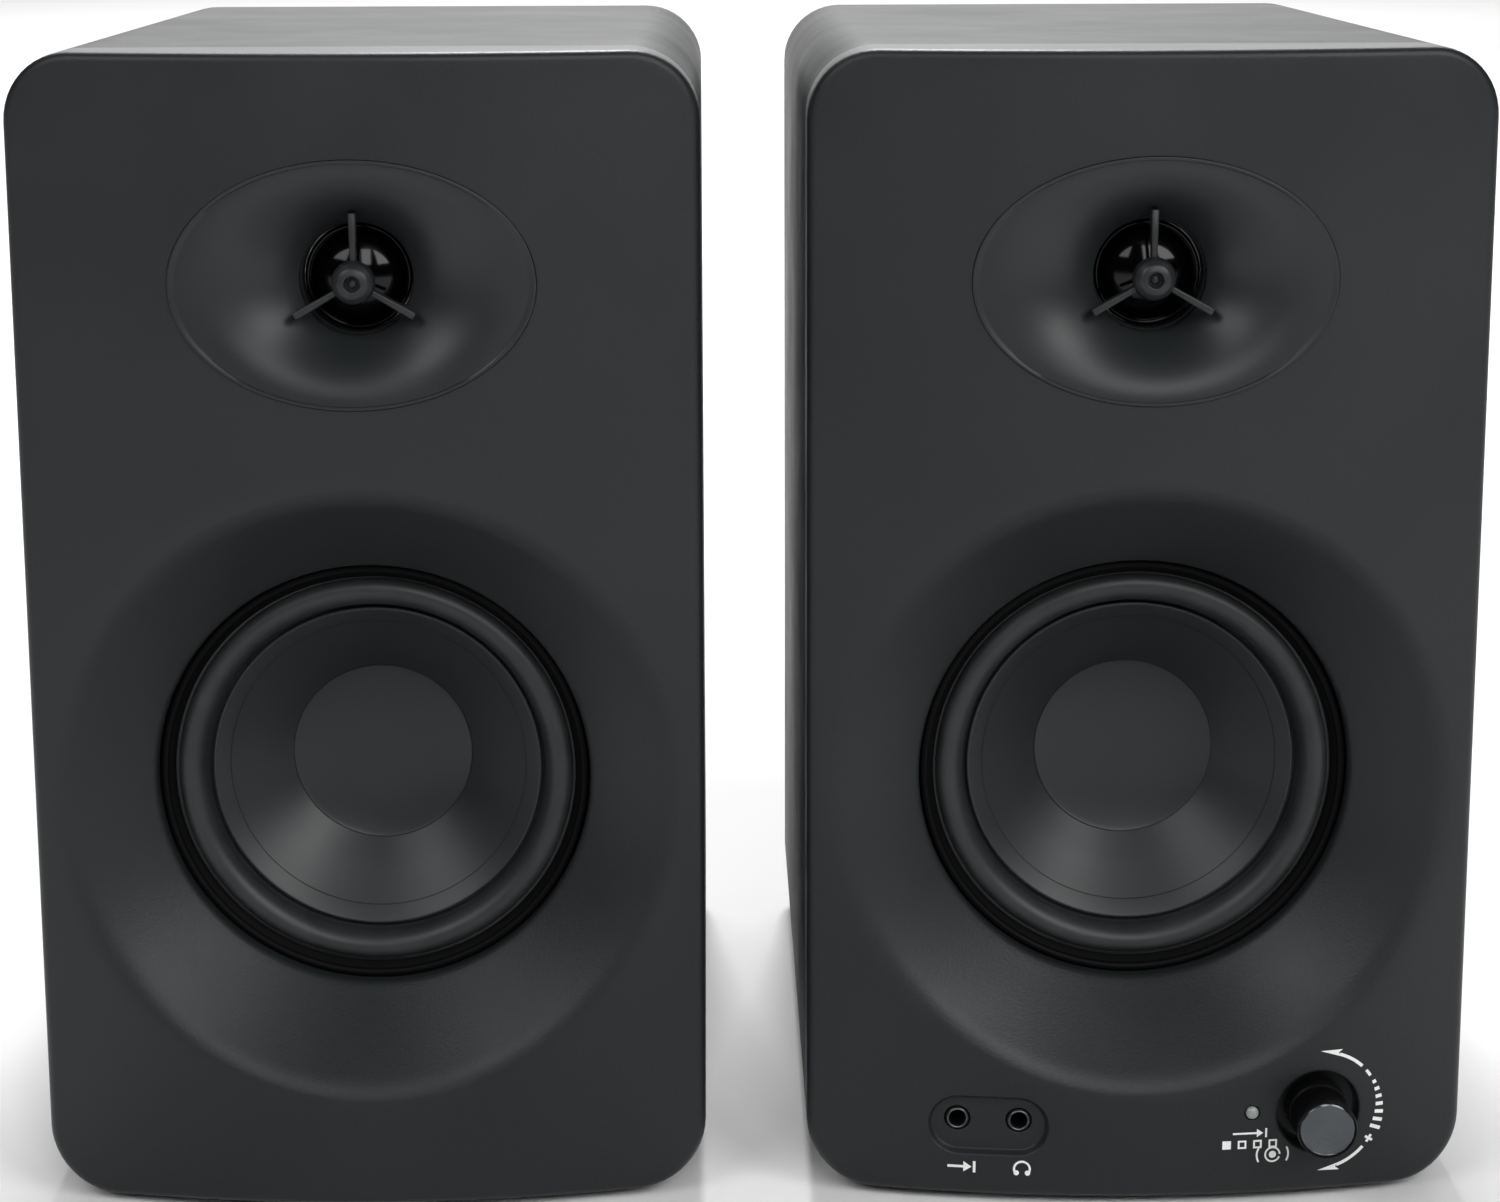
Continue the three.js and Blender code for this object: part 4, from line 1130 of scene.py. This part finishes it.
def status_lamp():
    face = crown_at(LED_X)
    dome = [(1.5 * sin(a), face + 0.3 - 1.0 * cos(a)) for a in np.linspace(0, pi / 2, 10)]
    return lathe([*dome, (1.5, face + 6.4), (1.7, face + 6.4), (1.7, 6.7), (0, 6.7)], LED_X, LED_Z, 48)


KNOB_FRONT = crown_at(KNOB_X) - KNOB_PROUD
KNOB_BACK = crown_at(KNOB_X) + 4


def knob_skirt():
    """The knob's ribbed body, with a plain flange at the back and a rim that holds the metal face."""
    y, end, r = KNOB_FRONT, KNOB_BACK, KNOB_RADIUS
    line = [(r - 0.62, y + 0.3), (r - 0.5, y + 0.05), (r - 0.25, y + 0.12), (r - 0.14, y + 0.5),
            (r - 0.14, y + 1.2), (r - 0.3, y + 1.5), (r - 0.3, end - 5.4), (r - 0.12, end - 5.1),
            (r, end - 4.9), (r, end - 0.3), (r - 0.3, end), (3.3, end), (3.3, y + 4.1), (0, y + 4.1),
            (0, y + 0.6), (r - 0.62, y + 0.6)]
    verts, faces = lathe(line, KNOB_X, KNOB_Z, 216)
    ribbed, groove = [], 0.982
    for i, (x, d, z) in enumerate(verts):
        if y + 1.4 < d < end - 5.3 and i % 3 == 0 and hypot(x - KNOB_X, z - KNOB_Z) > r - 0.4:
            x, z = KNOB_X + (x - KNOB_X) * groove, KNOB_Z + (z - KNOB_Z) * groove
        ribbed.append((x, d, z))
    return ribbed, faces


def knob_face():
    """The turned metal disc set in the knob's front, with a bright chamfer and a slight dish."""
    y, r = KNOB_FRONT, KNOB_RADIUS - 0.65
    line = [(0, y + 0.26), (2.5, y + 0.24), (r - 0.55, y + 0.16), (r - 0.4, y + 0.08),
            (r, y + 0.36), (r, y + 0.59), (0, y + 0.59)]
    return lathe(softened(line, [0, 2, 0.1, 0.1, 0.1, 0, 0], 4), KNOB_X, KNOB_Z, 128)


# ---- printed marks ----


MARK_X = 41.9          # centre of the printed scale
MARK_Z = 21.7


def on_scale(radius, degrees):
    return polar(radius, degrees, MARK_X, MARK_Z)


def arc_band(radius, width, start, end, x=MARK_X, z=MARK_Z, parts=24):
    """A flat strip along an arc, in degrees counted from +x."""
    turns = [start + (end - start) * i / parts for i in range(parts + 1)]
    outer = [polar(radius + width / 2, t, x, z) for t in turns]
    inner = [polar(radius - width / 2, t, x, z) for t in turns]
    return outer + inner[::-1]


def bar(x, z, width, height, angle=0.0):
    c, s = cos(radians(angle)), sin(radians(angle))
    corners = ((-1, -1), (1, -1), (1, 1), (-1, 1))
    return [(x + c * a * width / 2 - s * b * height / 2, z + s * a * width / 2 + c * b * height / 2)
            for a, b in corners]


def printed(lines):
    """Thin ink on the front moulding, one closed strip for each line of (x, z) points."""
    face = face_depth(True)
    skin = Skin()
    for line in lines:
        top = skin.loop(line, lambda x, z: face(x, z) - 0.035)
        base = skin.loop(line, lambda x, z: face(x, z) + 0.02)
        skin.band(top, base)
        skin.fill(top)
        skin.fill(base)
    return skin.shape()


# ---- building it all ----

slots = {part["node"]: part["material_slot"] for part in frame["record"]["subparts"]}
for node_name, node in frame["nodes"].items():
    node.data.materials.clear()
    node.data.materials.append(LOOKS[slots[node_name]])


def build_shared(side, powered):
    cone_body = f"{side}_woofer_motion"
    instead("cabinet", side, cabinet(powered), "cabinet_vinyl")
    instead("front_baffle", side, front_moulding(powered), "baffle_plastic", crease=40)
    instead("waveguide", side, horn(), "horn_plastic", crease=40)
    instead("phase_plug", side, plug(), "horn_plastic", crease=40)
    instead("tweeter_dome", side, tweeter_dome(), "dome_film", f"{side}_tweeter_motion")
    instead("tweeter_ring", side, tweeter_ring(), "black_plastic")
    # the trim's colour is partly its real black and partly painted shade of the gap inside it
    instead("woofer_trim", side, woofer_trim(), "black_plastic", look=TRIM_BLACK_AND_GAP_SHADE)
    instead("woofer_cone", side, woofer_cone(), "cone_sheet", cone_body)
    instead("dust_cap", side, dust_cap(), "cone_sheet", cone_body)
    instead("port_tube", side, port(), "black_plastic")
    instead("foot_front", side, foot(34), "foot_rubber")
    instead("foot_rear", side, foot(188), "foot_rubber")
    surround = instead("woofer_surround", side, woofer_surround(), "surround_rubber", None)
    stretch_between(surround)
    cloth = instead("spider", side, spider(), "spider_cloth", None)
    stretch_between(cloth)


def screws(name, side, spots, face, radius, height, first, step):
    """Screws at the (x, z) spots, each with its cross turned further by step degrees."""
    heads = [screw(x, face, z, radius, height, first + step * i) for i, (x, z) in enumerate(spots)]
    place(name, side, together(*heads), "black_plastic", look=SCREW_BLACK)


def clip_levers(side, x, z, face):
    for sign, colour in ((-1, "red"), (1, "black")):
        instead(f"clip_lever_{colour}", side, lever(x + sign * LEVER_PITCH / 2, z, face),
                f"{colour}_plastic", f"{side}_{colour}_clip")


def build_left():
    instead("terminal_cup", "left", terminal_cup(), "black_plastic")
    corners = [(x, CUP_Z + z) for z in (25, -25) for x in (-31, 31)]
    screws("cup_screws", "left", corners, DEPTH + 2.3, 2.4, 1.1, 20, 31)
    clip_levers("left", 0, CUP_Z + 3, CUP_FACE)


def build_right():
    instead("amp_panel", "right", amp_panel(), "panel_aluminium")
    panel_spots = [(x, PANEL_Z + z) for z in (-70, 0, 70) for x in (-54, 54)]
    screws("panel_screws", "right", panel_spots, PANEL_FACE, 2.9, 1.3, 13, 37)
    instead("mains_inlet", "right", mains_inlet(), "black_plastic")
    place("inlet_pins", "right", inlet_pins(), "zinc_steel")
    instead("switch_body", "right", switch_body(), "black_plastic")
    instead("power_rocker", "right", rocker(), "rocker_plastic", "power_rocker")
    place("rocker_marks", "right", rocker_marks(), "print_ink", "power_rocker", look=INK)
    instead("terminal_block", "right", terminal_block(), "black_plastic")
    place("phono_sleeves", "right", phono_sleeves(), "socket_metal")
    place("phono_core_white", "right", phono_core(PHONO_X[0]), "print_ink", look=WHITE_CORE)
    place("phono_core_red", "right", phono_core(PHONO_X[1]), "red_plastic")
    block_spots = [(BLOCK_MIDDLE + x, BLOCK_Z + z) for z in (13.5, -13.5) for x in (-44.5, 44.5)]
    screws("block_screws", "right", block_spots, BLOCK_FACE, 2.2, 1.0, 0, 41)
    clip_levers("right", BLOCK_X, BLOCK_Z + 4, BLOCK_FACE)
    for x, name in zip(JACK_X, ("aux_socket", "headphone_socket")):
        instead(name, "right", jack_body(x), "black_plastic")
        place(name + "_collar", "right", jack_collar(x), "socket_metal", look=DARK_NICKEL)
    instead("status_led", "right", status_lamp(), "led_lens")
    instead("volume_knob", "right", knob_skirt(), "knob_metal", "volume_knob", KNOB_BLACK, 22)
    place("volume_knob_face", "right", knob_face(), "knob_metal", "volume_knob")
    for name, marks in (("volume_marks", volume_marks()), ("socket_marks", socket_marks())):
        place(name, "right", printed(marks), "print_ink", look=INK)


def volume_marks():
    """Two arrows round the knob with a minus, a plus and a rising row of bars between them."""
    radius = 14.2
    lines = [arc_band(radius, width, start, end)
             for width, start, end in ((0.75, 46, 72), (0.75, -72, -42), (0.7, 33, 40))]
    for way in (1, -1):
        head = ((-0.38, 71), (0.35, 90.5), (1.35, 71), (0.38, 73.5))
        lines.append([on_scale(radius + out, turn * way) for out, turn in head])
    for i in range(7):
        angle = 25.5 - 7.6 * i
        lines.append(bar(*on_scale(radius + 0.1, angle), 0.9 + 0.27 * i, 0.85, angle))
    x, z = on_scale(radius, -32.5)
    lines += [bar(x, z, 2.0, 0.62, -32), bar(x, z, 0.62, 2.0, -32)]
    return lines


def box_line(x, z, size, stroke):
    """The four sides of a small hollow square."""
    reach = (size - stroke) / 2
    upright = size - 2 * stroke - 0.02
    return [bar(x, z + reach, size, stroke), bar(x, z - reach, size, stroke),
            bar(x - reach, z, stroke, upright), bar(x + reach, z, stroke, upright)]


def inward_arrow(x, z, length, height, stroke):
    """An arrow that points at a bar: the usual sign for a line input."""
    head = height * 0.75
    tip = x + length / 2 - 0.9
    return [bar(x - length / 2 + (length - head - 0.9) / 2, z, length - head - 0.9, stroke),
            [(tip - head, z - height / 2), (tip, z), (tip - head, z + height / 2)],
            bar(x + length / 2 - stroke / 2, z, stroke, height * 1.1)]


def socket_marks():
    """Signs under the two sockets and the lamp: line input, headphones, input choice and push."""
    lines = inward_arrow(-40.6, 9.0, 6.4, 2.5, 0.6)
    x, z = -26.8, 8.9
    lines.append(arc_band(1.8, 0.5, -22, 202, x, z, 32))
    lines += [circle(0.62, x + side * 1.27, z - 0.95, 20) for side in (-1, 1)]
    x = LED_X - 0.4
    lines += inward_arrow(x, 17.2, 8.0, 2.0, 0.45)
    lines.append(bar(x - 5.4, 14.5, 2.0, 2.0))
    for i in range(3):
        lines += box_line(x - 1.8 + 3.6 * i, 14.5, 2.0, 0.42)
    x = LED_X + 5.0
    lines += [arc_band(3.4, 0.42, 150, 210, x - 0.3, 11.8), arc_band(3.4, 0.42, -30, 30, x + 0.3, 11.8)]
    lines += [circle(0.85, x, 11.8, 24), arc_band(1.7, 0.4, 0, 340, x, 11.8, 32)]
    return lines


for speaker in SIDES:
    build_shared(speaker, speaker == "right")
build_left()
build_right()


# ---- floor, light and camera ----


def floor():
    verts = [(x, y, 0) for x, y in ((-9, -9), (9, -9), (9, 9), (-9, 9))]
    mesh = bpy.data.meshes.new("floor")
    mesh.from_pydata(verts, [], [(0, 1, 2, 3)])
    n = Nodes("pale floor")
    cloud = n.noise(400, 2.0, 0.5)
    shade = n.mix(cloud, (0.8, 0.8, 0.8), (0.84, 0.84, 0.84))
    mesh.materials.append(n.finish(Base_Color=shade, Roughness=0.7))
    added("floor", mesh)


def softbox(name, position, target, width, height, power):
    lamp = bpy.data.lights.new(name, "AREA")
    lamp.shape = "RECTANGLE"
    lamp.size = width
    lamp.size_y = height
    lamp.energy = power
    holder = added(name, lamp)
    holder.location = position
    holder.rotation_euler = (Vector(target) - Vector(position)).to_track_quat("-Z", "Y").to_euler()


def around(target, distance, azimuth, elevation):
    """A point at a distance from the target, from straight in front of it when both angles are 0."""
    turn, lift = radians(azimuth), radians(elevation)
    return (target[0] + distance * sin(turn) * cos(lift),
            target[1] - distance * cos(turn) * cos(lift), target[2] + distance * sin(lift))


def studio():
    floor()
    world = bpy.data.worlds.new("studio")
    bpy.context.scene.world = world
    world.use_nodes = True
    sky = world.node_tree.nodes["Background"].inputs
    sky["Color"].default_value = (1, 1, 1, 1)
    sky["Strength"].default_value = 0.02
    aim = (0, 0, 0.12)
    softbox("left softbox", around(aim, 1.9, -44, 38), aim, 1.0, 0.9, 11.5)
    softbox("right softbox", around(aim, 1.9, 44, 32), aim, 1.0, 0.9, 17)
    softbox("front softbox", around(aim, 1.9, 8, 32), aim, 0.5, 0.9, 8)
    softbox("back panel", (0, 4.2, 1.25), (0, 0, 1.25), 6.0, 2.5, 54)
    softbox("far softbox", (0, 5.0, 3.5), (0, 5.5, 0), 5.0, 3.0, 260)
    softbox("rear softbox", (0, 1.6, 2.2), (0, 0.05, 0), 0.5, 0.5, 60)


def camera():
    """The camera, in front of the pair and a little above it, looking down at it."""
    eye = (-0.00999, -0.66882, 0.30514)     # in metres, from the floor under the middle of the front edges
    pitch, yaw, roll = (radians(a) for a in (10.66, 0.77, -0.18))
    flat = cos(pitch)
    forward = Vector((sin(yaw) * flat, cos(yaw) * flat, -sin(pitch)))
    level = Vector((cos(yaw), -sin(yaw), 0))
    above = level.cross(forward)
    right = cos(roll) * level + sin(roll) * above
    up = -sin(roll) * level + cos(roll) * above
    data = bpy.data.cameras.new("camera")
    data.sensor_width = 36
    data.lens = 73.3764
    data.shift_y = -0.1099067
    data.clip_start = 0.05
    data.clip_end = 60
    data.dof.use_dof = False
    holder = added("camera", data)
    rows = Matrix((right, up, -forward)).transposed().to_4x4()
    front_edges = Vector((0, ORIGIN["left"][1] * MM, 0))
    holder.matrix_world = Matrix.Translation(Vector(eye) + front_edges) @ rows
    bpy.context.scene.camera = holder


studio()
camera()
bpy.context.scene.view_settings.view_transform = "Standard"
